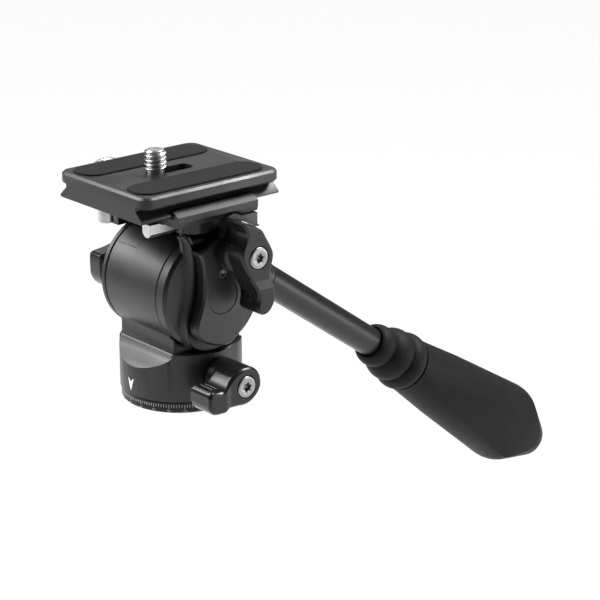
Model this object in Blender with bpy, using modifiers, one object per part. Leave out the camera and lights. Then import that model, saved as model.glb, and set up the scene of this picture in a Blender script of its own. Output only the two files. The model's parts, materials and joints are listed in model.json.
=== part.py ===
"""A compact fluid video head with a quick release plate and one pan handle.

The origin is on the pan axis at the underside of the base. +X is the tilt axis, towards
the lock knobs, the camera's lens looks along -Y, the handle points to +Y, and +Z is up.
Shares of the barrel's radius or of a knob's reach are measured from the tilt axis or from
the knob's own axis.
"""

import math

import bmesh
import bpy
from mathutils import Matrix

MM = 0.001

# Clearances and fineness
SEAT_GAP = 0.3 * MM
SEAM_GAP = 0.15 * MM
FIT_GAP = 0.3 * MM
OVERRUN = 6.0 * MM
LARGE_SIDES = 64
SMALL_SIDES = 24
SMOOTH_ANGLE = math.radians(32)
CHAMFER_ANGLE = math.radians(60)
FLAT_ANGLE = math.radians(1)
WELD_GAP = SEAM_GAP / 10
CORNER_STEPS = 4
CURVE_STEPS = 2
LONG_ARC_STEPS = 40

# Base on the tripod
BASE_SETBACK = 0.4 * MM
SCALE_HEIGHT = 3.3 * MM
SCALE_CHAMFER = 0.5 * MM
SCALE_WIDTH = 3.8 * MM
DRUM_ROOM = 2.2 * MM
SOCKET_RADIUS = 4.76 * MM
SOCKET_DEPTH = 10.0 * MM
SPINDLE_RADIUS = 3.0 * MM
SPINDLE_SINK = 0.1 * MM
NUT_RADIUS = 4.9 * MM
NUT_HEIGHT = 3.0 * MM
NUT_DROP = 4.0 * MM
NUT_ROOM = 0.7 * MM

# Pan housing: the cup, its neck and the barrel
CUP_RADIUS = 18.1 * MM
CUP_WALL = 4.9 * MM
CUP_ROOF = 3.0 * MM
RIM_LAP = 0.1 * MM
CUP_CHAMFER = 0.35 * MM
WASHER_THICKNESS = 0.7 * MM
TILT_HEIGHT = 35.1 * MM
BARREL_RADIUS = 17.0 * MM
BARREL_LEFT = 13.3 * MM
BARREL_RIGHT = 10.7 * MM
BARREL_BORE = 9.0 * MM
BARREL_CHAMFER = 0.35 * MM
NECK_LEFT = 12.6 * MM
NECK_RIGHT = 12.4 * MM
NECK_SETBACK = 0.7 * MM
SWING_GAP = 0.5 * MM
# The neck's waist, across and up from the cup's rim, as shares of the barrel's radius
NECK_WAIST_SHARES = (
    (1.094, -0.347), (1.062, -0.323), (1.028, -0.294), (0.947, -0.232), (0.861, -0.162),
    (0.80, -0.106), (0.765, -0.059), (0.735, 0.0), (0.718, 0.076), (0.711, 0.165),
    (0.715, 0.247), (0.729, 0.318), (0.759, 0.376),
)

# Tilt axle and drag parts
AXLE_RADIUS = 4.0 * MM
AXLE_LEFT = 22.0 * MM
AXLE_RIGHT = 16.0 * MM
BUSH_LENGTH = 6.0 * MM
ROTOR_LENGTH = 9.8 * MM
ROTOR_RADIUS = 8.2 * MM
AXLE_CAP_RADIUS = 5.1 * MM

# Yoke: the left cheek, the right arm with its disc, and the arm's cover
LEFT_CHEEK_THICKNESS = 1.7 * MM
RIGHT_DISC_THICKNESS = 3.8 * MM
ARM_RISE = 1.4 * MM
ARM_LAP = 1.2 * MM
SCOOP_WIDTH = 2.6 * MM
SCOOP_STEPS = 6
COVER_THICKNESS = 3.9 * MM
CHEEK_CHAMFER = 0.6 * MM
DISC_CHAMFER = 0.95 * MM
COVER_CHAMFER = 0.9 * MM
# Half of a cheek's strap, from the disc up to its flared top, as shares of the barrel's radius
STRAP_SHARES = (
    (0.457, 0.889), (0.42, 0.93), (0.40, 0.98), (0.395, 1.02), (0.41, 1.06), (0.45, 1.09), (0.50, 1.11),
)
ARM_BACK_HALF = 9.0 * MM
COVER_SCREW_RADIUS = 1.15 * MM
COVER_SCREW_RISE = 6.9 * MM
COVER_SCREW_SINK = 0.1 * MM
# The arm's scooped front edge from the platform down, as shares of the barrel's radius
ARM_FRONT_SHARES = (
    (-0.60, 1.105), (-0.535, 1.047), (-0.487, 0.96), (-0.459, 0.86), (-0.43, 0.70), (-0.42, 0.50),
    (-0.432, 0.28), (-0.453, 0.068), (-0.50, -0.15), (-0.571, -0.347), (-0.58, -0.53), (-0.55, -0.70),
    (-0.46, -0.86), (-0.32, -0.945),
)
# The arm's curled lip under the platform, its outer side and then its inner side, as shares of the
# barrel's radius across and up
LIP_OUTER_SHARES = ((0.80, 1.135), (0.93, 1.135), (1.01, 1.115), (1.065, 1.075), (1.10, 1.015))
LIP_INNER_SHARES = ((1.055, 1.005), (1.02, 1.045), (0.975, 1.07), (0.92, 1.075), (0.80, 1.07))
LIP_FRONT = 9.4 * MM
LIP_BACK = 4.9 * MM
# The cover's tongue, front edge, toe and back edge, as shares of the barrel's radius
COVER_EDGE_SHARES = (
    (-0.526, 0.847), (-0.455, 0.76), (-0.42, 0.66), (-0.395, 0.46), (-0.395, 0.27), (-0.42, 0.02),
    (-0.48, -0.19),
    (-0.555, -0.38), (-0.56, -0.54), (-0.48, -0.68), (-0.31, -0.79), (-0.10, -0.86), (0.10, -0.885),
    (0.25, -0.83), (0.40, -0.69), (0.49, -0.47), (0.545, -0.28), (0.565, -0.10),
)
# The cover's top edge from the back to its front corner, as shares of the barrel's radius
COVER_TOP_SHARES = ((0.565, 1.135), (0.05, 1.135), (-0.056, 1.041))

# Clamp platform, its moving jaw and the catch
PLATFORM_LIFT = 2.6 * MM
LEDGE_LIFT = 4.1 * MM
SEAT_LIFT = 6.8 * MM
SHOULDER_LIFT = 7.6 * MM
JAW_LIFT = 9.2 * MM
PLATE_LIFT = 14.7 * MM
PLATFORM_RIGHT = 22.6 * MM
PLATFORM_FRONT = 17.4 * MM
PLATFORM_BACK = 11.3 * MM
BLOCK_RIGHT = 18.8 * MM
BLOCK_FRONT = 10.5 * MM
BLOCK_CORNER = 4.2 * MM
BLOCK_LAP = 0.9 * MM
LEDGE_START = 15.4 * MM
JAW_CREST = 0.85 * MM
JAW_FOOT_INSET = 0.45 * MM
JAW_FOOT_RISE = 1.5 * MM
JAW_TRAVEL = 0.8 * MM
HOOD_REACH = 11.2 * MM
HOOD_INNER = 20.75 * MM
HOOD_OUTER = 23.2 * MM
HOOD_BLOCK_FRONT = 0.1 * MM
HOLLOW_START = 17.0 * MM
# The hood's inner edge over the tilt knob from its front foot to the back, then its outer edge back to
# the front, and the hollow behind the hood, all from the knob's axis as shares of the hood's reach
HOOD_INNER_SHARES = (
    (-0.495, 0.464), (-0.438, 0.527), (-0.384, 0.598), (-0.344, 0.67), (-0.308, 0.75), (-0.267, 0.835),
    (-0.202, 0.875), (-0.071, 0.875), (0.089, 0.8125), (0.321, 0.6875), (0.482, 0.58), (0.536, 0.536),
)
HOOD_OUTER_SHARES = (
    (0.6875, 0.536), (0.615, 0.604), (0.418, 0.714), (0.268, 0.817), (0.027, 0.955), (-0.103, 1.0),
    (-0.241, 0.995), (-0.348, 0.942), (-0.406, 0.848), (-0.42, 0.732), (-0.442, 0.643),
    (-0.478, 0.571), (-0.518, 0.50),
)
HOLLOW_SHARES = (
    (-0.98, 0.30), (-0.81, 0.50), (-0.625, 0.607), (-0.43, 0.705), (-0.33, 0.78), (-0.25, 0.89),
    (-0.12, 0.925), (0.06, 0.88), (0.30, 0.75), (0.53, 0.59), (0.78, 0.30),
)
GUSSET_RIGHT = 15.7 * MM
GUSSET_LEFT = 20.0 * MM
GUSSET_DEPTH = 4.6 * MM
GUSSET_FRONT = 10.0 * MM
GUSSET_BACK = 8.0 * MM
TAB_INNER = 12.4 * MM
TAB_OUTER = 14.6 * MM
TAB_HALF = 3.0 * MM
TAB_BRIDGE = 1.0 * MM
CATCH_X = 11.2 * MM
CATCH_LIFT = 1.9 * MM
CATCH_WIDTH = 3.7 * MM
CATCH_HEIGHT = 4.0 * MM
CATCH_REACH = 2.6 * MM
CATCH_BURIED = 4.0 * MM
CATCH_TRAVEL = 1.2 * MM
# The catch's six corners from its top left, as shares of its width and height
CATCH_CORNER_SHARES = ((-0.5, 0.5), (0.5, 0.5), (0.5, -0.2), (0.2, -0.5), (-0.2, -0.5), (-0.5, -0.2))

# Clamp knob and screw
CLAMP_Y = -1.3 * MM
CLAMP_LIFT = 2.6 * MM
CLAMP_SCREW_RADIUS = 1.6 * MM
CLAMP_KNOB_RADIUS = 8.2 * MM
CLAMP_KNOB_INNER = 28.0 * MM
CLAMP_KNOB_OUTER = 34.5 * MM
CLAMP_NECK_RADIUS = 4.6 * MM
CLAMP_RIDGES = 30
CLAMP_RIDGE_DEPTH = 0.5 * MM
# Each ridge starts and ends, then the groove starts and ends, at these shares of its pitch
RIDGE_CREST_SHARES = (0.0, 0.3)
RIDGE_GROOVE_SHARES = (0.5, 0.8)
CLAMP_SCREW_BITE = 5.0 * MM

# Quick release plate
PLATE_X = 1.0 * MM
PLATE_Y = -3.57 * MM
PLATE_HALF_WIDTH = 20.5 * MM
PLATE_HALF_LENGTH = 24.6 * MM
SLAB_THICKNESS = 3.7 * MM
PLATE_CORNER = 3.3 * MM
PLATE_CHAMFER = 0.7 * MM
DOVETAIL_NECK_HALF = 16.3 * MM
DOVETAIL_NECK_DROP = 0.5 * MM
DOVETAIL_FLANK_DROP = 2.7 * MM
DOVETAIL_HALF = 19.3 * MM
DOVETAIL_FOOT_BEVEL = 0.5 * MM
SLOT_WIDTH = 5.6 * MM
SLOT_HALF_LENGTH = 7.7 * MM
SLOT_FLOOR = 3.2 * MM
RECESS_HALF_WIDTH = 7.6 * MM
RECESS_HALF_LENGTH = 12.3 * MM
RECESS_CORNER = 1.5 * MM
PAD_RISE = 0.5 * MM
PAD_SINK = 0.5 * MM
PAD_INNER = 7.2 * MM
PAD_OUTER = 18.1 * MM
PAD_HALF_LENGTH = 22.9 * MM
PAD_SHIFT = 0.4 * MM
PAD_SLANT = 1.0 * MM
PAD_CORNER = 4.8 * MM
STOP_RADIUS = 2.2 * MM
STOP_X = -1.0 * MM
STOP_EDGE = 3.2 * MM
STOP_DROP = 4.3 * MM
STOP_LENGTH = 7.5 * MM

# Camera screw, a quarter-inch thread of twenty turns to the inch, and its slider
CAMERA_THREAD_RADIUS = 3.175 * MM
CAMERA_NECK_RADIUS = 2.5 * MM
CAMERA_HEAD_RADIUS = 6.8 * MM
CAMERA_HEAD_HEIGHT = 2.2 * MM
CAMERA_SCREW_RISE = 6.8 * MM
CAMERA_COIN_SLOT = 1.6 * MM
CAMERA_COIN_DEPTH = 1.1 * MM
CAMERA_CHAMFER = 0.6 * MM
CAMERA_BACK = 4.93 * MM
SLIDER_HALF_WIDTH = 6.5 * MM
SLIDER_HALF_LENGTH = 6.5 * MM
SLIDER_THICKNESS = 0.9 * MM

# Wing knobs of the tilt lock and the pan lock
STUD_RADIUS = 2.2 * MM
SHOE_HOLE_RADIUS = 2.6 * MM
CAP_SCREW_RADIUS = 3.2 * MM
CAP_SHANK_RADIUS = 1.6 * MM
CAP_SHANK_LENGTH = 1.3 * MM
CAP_HEAD_HEIGHT = 1.7 * MM
CAP_RECESS_RADIUS = 3.5 * MM
CAP_SINK = 0.3 * MM
SHOE_GAP = 0.3 * MM
STUD_ROOM = 0.7 * MM
WING_CHAMFER = 0.8 * MM

TILT_KNOB_Y = 3.6 * MM
TILT_KNOB_RISE_SHARE = 0.8
TILT_HUB_RADIUS = 6.2 * MM
TILT_WING_INNER = 23.6 * MM
TILT_WING_OUTER = 32.6 * MM
TILT_WING_REACH = 17.0 * MM
TILT_SHOE_LENGTH = 2.6 * MM
# The tilt knob's wing seen along its axis, as shares of its reach
TILT_WING_SHARES = (
    (-0.342, 0.676), (-0.28, 0.547), (-0.239, 0.435), (-0.261, 0.32), (-0.316, 0.212), (-0.339, 0.078),
    (-0.319, -0.047), (-0.246, -0.20), (-0.161, -0.341), (-0.076, -0.50), (-0.013, -0.653),
    (-0.014, -0.794), (-0.037, -0.912), (0.049, -1.0), (0.159, -0.994), (0.247, -0.924), (0.314, -0.80),
    (0.314, -0.659), (0.293, -0.494), (0.25, -0.362), (0.251, -0.256), (0.284, -0.159), (0.318, -0.026),
    (0.296, 0.082), (0.189, 0.278), (0.061, 0.459), (-0.025, 0.52), (-0.109, 0.571),
)

PAN_KNOB_HEIGHT_SHARE = 0.571
PAN_HUB_RADIUS = 5.7 * MM
PAN_WING_INNER = 21.4 * MM
PAN_WING_OUTER = 31.0 * MM
PAN_WING_REACH = 14.0 * MM
PAN_SHOE_LENGTH = 4.2 * MM
# The pan knob's wing seen along its axis, as shares of its reach
PAN_WING_SHARES = (
    (-0.95, 0.11), (-0.80, 0.07), (-0.62, 0.05), (-0.50, 0.12), (-0.35, 0.28), (-0.18, 0.37),
    (0.02, 0.40), (0.24, 0.34), (0.38, 0.16), (0.40, -0.08), (0.26, -0.28), (0.04, -0.39),
    (-0.19, -0.38), (-0.42, -0.37), (-0.54, -0.42), (-0.70, -0.42), (-0.88, -0.38), (-0.99, -0.18),
)

# Drag knob on the axle's left end
DRAG_HUB_RADIUS = 6.0 * MM
DRAG_WING_INNER = 25.0 * MM
DRAG_WING_OUTER = 31.4 * MM
DRAG_WING_REACH = 10.0 * MM
# The drag knob's paddle seen along its axis, as shares of its reach
DRAG_WING_SHARES = (
    (-0.93, 0.33), (-0.62, 0.37), (-0.30, 0.42), (0.0, 0.50), (0.32, 0.45), (0.55, 0.20), (0.55, -0.20),
    (0.40, -0.52), (0.10, -0.72), (-0.30, -0.82), (-0.62, -0.78), (-0.84, -0.62), (-0.97, -0.40),
    (-1.0, -0.20), (-1.0, 0.20),
)

# Handle: a bar in the arm's boss, a ribbed collar and a flared grip
HANDLE_X = 16.6 * MM
HANDLE_Y = 6.53 * MM
HANDLE_RISE = 9.17 * MM
HANDLE_DROP_ANGLE = math.radians(35.44)
BAR_RADIUS = 4.5 * MM
BAR_START = 14.5 * MM
BAR_BURIED = 28.0 * MM
SPIGOT_RADIUS = 3.0 * MM
SPIGOT_LENGTH = 5.0 * MM
BOSS_RADIUS = 4.6 * MM
BOSS_LENGTH = 6.2 * MM
COLLAR_START = 66.2 * MM
RING_LENGTHS = (6.4 * MM, 7.3 * MM, 5.8 * MM)
RING_RADII = (6.45 * MM, 8.3 * MM, 9.35 * MM)
RING_GROOVE_RADII = (4.9 * MM, 6.1 * MM, 7.7 * MM, 8.5 * MM)
RING_STEPS = 8
GRIP_LENGTH = 72.4 * MM
GRIP_RADIUS = 13.4 * MM
GRIP_FLAT_HALF = 9.15 * MM
GRIP_FLAT_LEAN = math.radians(1.0)
GRIP_BORE_SPARE = 2.0 * MM
# The grip's outline from its mouth to its end, as shares of its length and of its largest radius
GRIP_SHARES = (
    (0.0, 0.658), (0.055, 0.68), (0.124, 0.723), (0.276, 0.807), (0.442, 0.886), (0.608, 0.953),
    (0.691, 0.987), (0.727, 1.0), (0.757, 0.993), (0.779, 0.966), (0.801, 0.917), (0.884, 0.711),
    (0.968, 0.506), (0.986, 0.449), (0.996, 0.367), (1.0, 0.269), (1.0, 0.0),
)

# Colours are (red, green, blue), then roughness and metallic
FINISHES = {
    "anodised_metal": ((0.035, 0.035, 0.036), 0.42, 0.75),
    "scale_metal": ((0.022, 0.022, 0.023), 0.5, 0.6),
    "black_plastic": ((0.012, 0.012, 0.012), 0.32, 0.0),
    "grip_rubber": ((0.022, 0.022, 0.023), 0.62, 0.0),
    "pad_rubber": ((0.028, 0.028, 0.028), 0.8, 0.0),
    "bright_steel": ((0.62, 0.62, 0.60), 0.28, 1.0),
    "inner_steel": ((0.42, 0.42, 0.42), 0.4, 1.0),
    "bearing_plastic": ((0.6, 0.58, 0.52), 0.55, 0.0),
}

# Places that follow from the sizes above
BASE_RADIUS = CUP_RADIUS - BASE_SETBACK
BASE_PLATE_RADIUS = BASE_RADIUS - SCALE_WIDTH
DRUM_RADIUS = CUP_RADIUS - CUP_WALL - DRUM_ROOM
CUP_BOTTOM = SCALE_HEIGHT + SEAT_GAP
CUP_RIM_HEIGHT = TILT_HEIGHT - BARREL_RADIUS + RIM_LAP
CUP_CEILING = CUP_RIM_HEIGHT - CUP_ROOF
DRUM_TOP = CUP_CEILING - SEAT_GAP - WASHER_THICKNESS - SEAT_GAP
SPINDLE_TOP = TILT_HEIGHT - BARREL_BORE - SPINDLE_SINK
NUT_SEAT_HEIGHT = SPINDLE_TOP - NUT_DROP
PAN_KNOB_HEIGHT = PAN_KNOB_HEIGHT_SHARE * CUP_RIM_HEIGHT
BARREL_TURN = (0.0, math.radians(90), 0.0)
ACROSS = (math.radians(90), 0.0, math.radians(90))
ALONG = (math.radians(90), 0.0, 0.0)
UPRIGHT = (0.0, 0.0, 0.0)
LEFT_CHEEK_OUTER = -BARREL_LEFT - SEAT_GAP - LEFT_CHEEK_THICKNESS
DISC_INNER = BARREL_RIGHT + SEAT_GAP
DISC_OUTER = DISC_INNER + RIGHT_DISC_THICKNESS
ARM_OUTER = DISC_OUTER + ARM_RISE
COVER_INNER = ARM_OUTER + SEAT_GAP
COVER_OUTER = COVER_INNER + COVER_THICKNESS
PLATFORM_RISE = BARREL_RADIUS + PLATFORM_LIFT
PLATFORM_LEDGE = PLATFORM_RISE + LEDGE_LIFT
PLATFORM_SEAT = PLATFORM_RISE + SEAT_LIFT
JAW_SHOULDER = PLATFORM_RISE + SHOULDER_LIFT
JAW_TOP = PLATFORM_RISE + JAW_LIFT
CLAMP_RISE = PLATFORM_RISE + CLAMP_LIFT
CATCH_RISE = PLATFORM_RISE + CATCH_LIFT
PLATE_TOP = PLATFORM_RISE + PLATE_LIFT
STRAP_TOP = PLATFORM_RISE - SEAT_GAP
TILT_KNOB_RISE = TILT_KNOB_RISE_SHARE * BARREL_RADIUS
PLATE_BOTTOM = PLATFORM_SEAT + SEAT_GAP
STOP_TOP = PLATE_TOP - STOP_DROP
STOP_BOTTOM = STOP_TOP - STOP_LENGTH
SLAB_BOTTOM = PLATE_TOP - SLAB_THICKNESS
FLANK_TOP = SLAB_BOTTOM - DOVETAIL_NECK_DROP
FLANK_BOTTOM = FLANK_TOP - DOVETAIL_FLANK_DROP
RECESS_CEILING = PLATE_TOP - SLOT_FLOOR
SLIDER_TOP = RECESS_CEILING - SEAT_GAP
HANDLE_TURN = (-math.radians(90) - HANDLE_DROP_ANGLE, 0.0, 0.0)

parts = None
cutters = None


def clear_scene():
    """Remove everything that the startup scene holds."""
    for old in list(bpy.data.objects):
        bpy.data.objects.remove(old, do_unlink=True)
    for old in list(bpy.data.collections):
        bpy.data.collections.remove(old)


def new_collection(name):
    collection = bpy.data.collections.new(name)
    bpy.context.scene.collection.children.link(collection)
    return collection


def finish(name):
    """Return the named material, made the first time that it is asked for."""
    if name in bpy.data.materials:
        return bpy.data.materials[name]
    colour, roughness, metallic = FINISHES[name]
    material = bpy.data.materials.new(name)
    material.use_nodes = True
    shader = material.node_tree.nodes["Principled BSDF"]
    shader.inputs["Base Color"].default_value = (*colour, 1.0)
    shader.inputs["Roughness"].default_value = roughness
    shader.inputs["Metallic"].default_value = metallic
    material.diffuse_color = (*colour, 1.0)
    return material


def place(name, mesh, look, at=(0.0, 0.0, 0.0), turn=UPRIGHT, parent=None):
    """Make an object of a mesh: a part with a finish, or a cutter where look is None."""
    obj = bpy.data.objects.new(name, mesh)
    obj.location = at
    obj.rotation_euler = turn
    obj.parent = parent
    if look is None:
        cutters.objects.link(obj)
        obj.hide_render = True
        obj.display_type = "WIRE"
        return obj
    parts.objects.link(obj)
    mesh.materials.append(finish(look))
    return obj


def axis_empty(name, at, parent=None, turn=UPRIGHT):
    """An empty on a joint's axis, which carries the pieces that move about it."""
    empty = bpy.data.objects.new(name, None)
    empty.empty_display_size = BASE_RADIUS
    empty.location = at
    empty.rotation_euler = turn
    empty.parent = parent
    parts.objects.link(empty)
    return empty


def shade(mesh):
    mesh.shade_smooth()
    mesh.set_sharp_from_angle(angle=SMOOTH_ANGLE)


def mesh_of(name, build):
    """A mesh filled by a function that takes an empty bmesh."""
    work = bmesh.new()
    build(work)
    mesh = bpy.data.meshes.new(name)
    work.to_mesh(mesh)
    work.free()
    shade(mesh)
    return mesh


def rod(name, look, radius, low, high, at=(0.0, 0.0, 0.0), turn=UPRIGHT, parent=None, sides=SMALL_SIDES):
    """A cylinder from low to high along its own Z, which turn points where it is wanted."""

    def build(work):
        middle = Matrix.Translation((0.0, 0.0, (low + high) / 2))
        bmesh.ops.create_cone(
            work, cap_ends=True, segments=sides, radius1=radius, radius2=radius, depth=high - low,
            matrix=middle
        )

    return place(name, mesh_of(name, build), look, at, turn, parent)


def box(name, look, low, high, parent=None):
    """A box between two corners."""
    size = [top - bottom for bottom, top in zip(low, high)]
    centre = [(top + bottom) / 2 for bottom, top in zip(low, high)]

    def build(work):
        bmesh.ops.create_cube(work, size=1.0, matrix=Matrix.Diagonal((*size, 1.0)))

    return place(name, mesh_of(name, build), look, centre, UPRIGHT, parent)


def turned(
    name, look, profile, at=(0.0, 0.0, 0.0), turn=UPRIGHT, parent=None, sides=LARGE_SIDES, ring=False,
):
    """A profile of (radius, height) points, outer side from the top down, turned about its own Z."""
    mesh = bpy.data.meshes.new(name)
    points = [(radius, 0.0, height) for radius, height in profile]
    edges = [(i, i + 1) for i in range(len(points) - 1)]
    if ring:
        edges.append((len(points) - 1, 0))
    mesh.from_pydata(points, edges, [])
    obj = place(name, mesh, look, at, turn, parent)
    screw = obj.modifiers.new("Turn", "SCREW")
    screw.axis = "Z"
    screw.angle = math.tau
    screw.steps = sides
    screw.render_steps = sides
    screw.use_merge_vertices = True
    screw.merge_threshold = WELD_GAP
    screw.use_smooth_shade = True
    return obj


def tube(
    name, look, inner, outer, low, high, at=(0.0, 0.0, 0.0), turn=UPRIGHT, parent=None, sides=SMALL_SIDES,
):
    """A plain ring between two radii."""
    profile = [(outer, high), (outer, low), (inner, low), (inner, high)]
    return turned(name, look, profile, at, turn, parent, sides, ring=True)


def slab(name, look, outline, low, high, at=(0.0, 0.0, 0.0), turn=UPRIGHT, parent=None):
    """A flat outline, extruded from low to high along its own Z, as a welded mesh."""
    curve = bpy.data.curves.new(name, "CURVE")
    curve.dimensions = "2D"
    curve.fill_mode = "BOTH"
    curve.extrude = (high - low) / 2
    spline = curve.splines.new("POLY")
    spline.points.add(len(outline) - 1)
    for point, (across, up) in zip(spline.points, outline):
        point.co = (across, up, 0.0, 1.0)
    spline.use_cyclic_u = True
    guide = bpy.data.objects.new(name, curve)
    bpy.context.scene.collection.objects.link(guide)
    graph = bpy.context.evaluated_depsgraph_get()
    mesh = bpy.data.meshes.new_from_object(guide.evaluated_get(graph))
    bpy.data.objects.remove(guide)
    work = bmesh.new()
    work.from_mesh(mesh)
    bmesh.ops.remove_doubles(work, verts=work.verts, dist=WELD_GAP)
    bmesh.ops.dissolve_limit(work, angle_limit=FLAT_ANGLE, verts=work.verts, edges=work.edges)
    bmesh.ops.translate(work, verts=work.verts, vec=(0.0, 0.0, (low + high) / 2))
    bmesh.ops.recalc_face_normals(work, faces=work.faces)
    if work.calc_volume(signed=True) < 0:
        bmesh.ops.reverse_faces(work, faces=work.faces)
    work.to_mesh(mesh)
    work.free()
    shade(mesh)
    return place(name, mesh, look, at, turn, parent)


def boolean(obj, other, operation):
    modifier = obj.modifiers.new(f"{operation.title()} {other.name}", "BOOLEAN")
    modifier.operation = operation
    modifier.solver = "EXACT"
    modifier.object = other


def cut(obj, *tools):
    for tool in tools:
        boolean(obj, tool, "DIFFERENCE")


def join(obj, *others):
    for other in others:
        boolean(obj, other, "UNION")


def chamfer(obj, width):
    """Break the sharp edges of a part with one flat."""
    bevel = obj.modifiers.new("Chamfer", "BEVEL")
    bevel.width = width
    bevel.segments = 1
    bevel.limit_method = "ANGLE"
    bevel.angle_limit = CHAMFER_ANGLE
    bevel.harden_normals = False


def arc(centre, radius, start, end, steps):
    """Points on a circle from one angle to another, in degrees."""
    points = []
    for step in range(steps + 1):
        angle = math.radians(start + (end - start) * step / steps)
        points.append((centre[0] + radius * math.cos(angle), centre[1] + radius * math.sin(angle)))
    return points


def rounded(corners, radius, steps=CORNER_STEPS):
    """A polygon's outline with each corner replaced by an arc that touches both of its sides."""
    outline = []
    count = len(corners)
    for i, corner in enumerate(corners):
        before = corners[i - 1]
        after = corners[(i + 1) % count]
        back = (before[0] - corner[0], before[1] - corner[1])
        onward = (after[0] - corner[0], after[1] - corner[1])
        back_length = math.hypot(*back)
        onward_length = math.hypot(*onward)
        back = (back[0] / back_length, back[1] / back_length)
        onward = (onward[0] / onward_length, onward[1] / onward_length)
        half = math.acos(back[0] * onward[0] + back[1] * onward[1]) / 2
        reach = radius / math.tan(half)
        middle = (back[0] + onward[0], back[1] + onward[1])
        middle_length = math.hypot(*middle)
        depth = radius / math.sin(half)
        reach = depth / middle_length
        centre = (corner[0] + middle[0] * reach, corner[1] + middle[1] * reach)
        first = (corner[0] + back[0] * reach, corner[1] + back[1] * reach)
        last = (corner[0] + onward[0] * reach, corner[1] + onward[1] * reach)
        start = math.degrees(math.atan2(first[1] - centre[1], first[0] - centre[0]))
        end = math.degrees(math.atan2(last[1] - centre[1], last[0] - centre[0]))
        sweep = (end - start + 180) % 360 - 180
        outline += arc(centre, radius, start, start + sweep, steps)
    return outline


def flowing(points, steps=CURVE_STEPS, closed=False):
    """A smooth run through points, each stretch a cubic set by the two points on either side of it."""
    count = len(points)
    run = []
    for i in range(count if closed else count - 1):
        a = points[i - 1] if closed or i > 0 else points[0]
        b = points[i]
        c = points[(i + 1) % count]
        d = points[(i + 2) % count] if closed or i + 2 < count else points[-1]
        for step in range(steps):
            t = step / steps
            run.append(tuple(
                0.5 * (2 * b[k] + (c[k] - a[k]) * t + (2 * a[k] - 5 * b[k] + 4 * c[k] - d[k]) * t * t
                       + (3 * b[k] - a[k] - 3 * c[k] + d[k]) * t * t * t)
                for k in (0, 1)
            ))
    if not closed:
        run.append(points[-1])
    return run


def scaled(shares, across, up=None):
    """Shares turned into lengths."""
    up = across if up is None else up
    return [(x * across, y * up) for x, y in shares]


def rounded_box(half_width, half_length, radius):
    corners = [
        (-half_width, -half_length), (half_width, -half_length), (half_width, half_length),
        (-half_width, half_length),
    ]
    return rounded(corners, radius)


def make_base():
    """The tripod socket, its drum and spindle, and the degree ring round its foot."""
    tripod_base = [
        (DRUM_RADIUS, DRUM_TOP), (DRUM_RADIUS, SCALE_HEIGHT), (BASE_PLATE_RADIUS, SCALE_HEIGHT),
        (BASE_PLATE_RADIUS, 0.0), (SOCKET_RADIUS, 0.0), (SOCKET_RADIUS, SOCKET_DEPTH),
        (SPINDLE_RADIUS + FIT_GAP, SOCKET_DEPTH), (SPINDLE_RADIUS + FIT_GAP, DRUM_TOP),
    ]
    turned("tripod_base", "inner_steel", tripod_base, ring=True)
    scale_ring = [
        (BASE_RADIUS, SCALE_HEIGHT), (BASE_RADIUS, SCALE_CHAMFER), (BASE_RADIUS - SCALE_CHAMFER, 0.0),
        (BASE_PLATE_RADIUS + FIT_GAP, 0.0), (BASE_PLATE_RADIUS + FIT_GAP, SCALE_HEIGHT),
    ]
    turned("scale_ring", "scale_metal", scale_ring, ring=True)
    rod("pan_spindle", "inner_steel", SPINDLE_RADIUS, SOCKET_DEPTH + SEAT_GAP, SPINDLE_TOP)
    low = NUT_SEAT_HEIGHT + SEAT_GAP
    nut = rod("spindle_nut", "inner_steel", NUT_RADIUS, low, low + NUT_HEIGHT, sides=6)
    cut(nut, rod("nut_bore", None, SPINDLE_RADIUS + FIT_GAP, low - OVERRUN, low + NUT_HEIGHT + OVERRUN))


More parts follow.
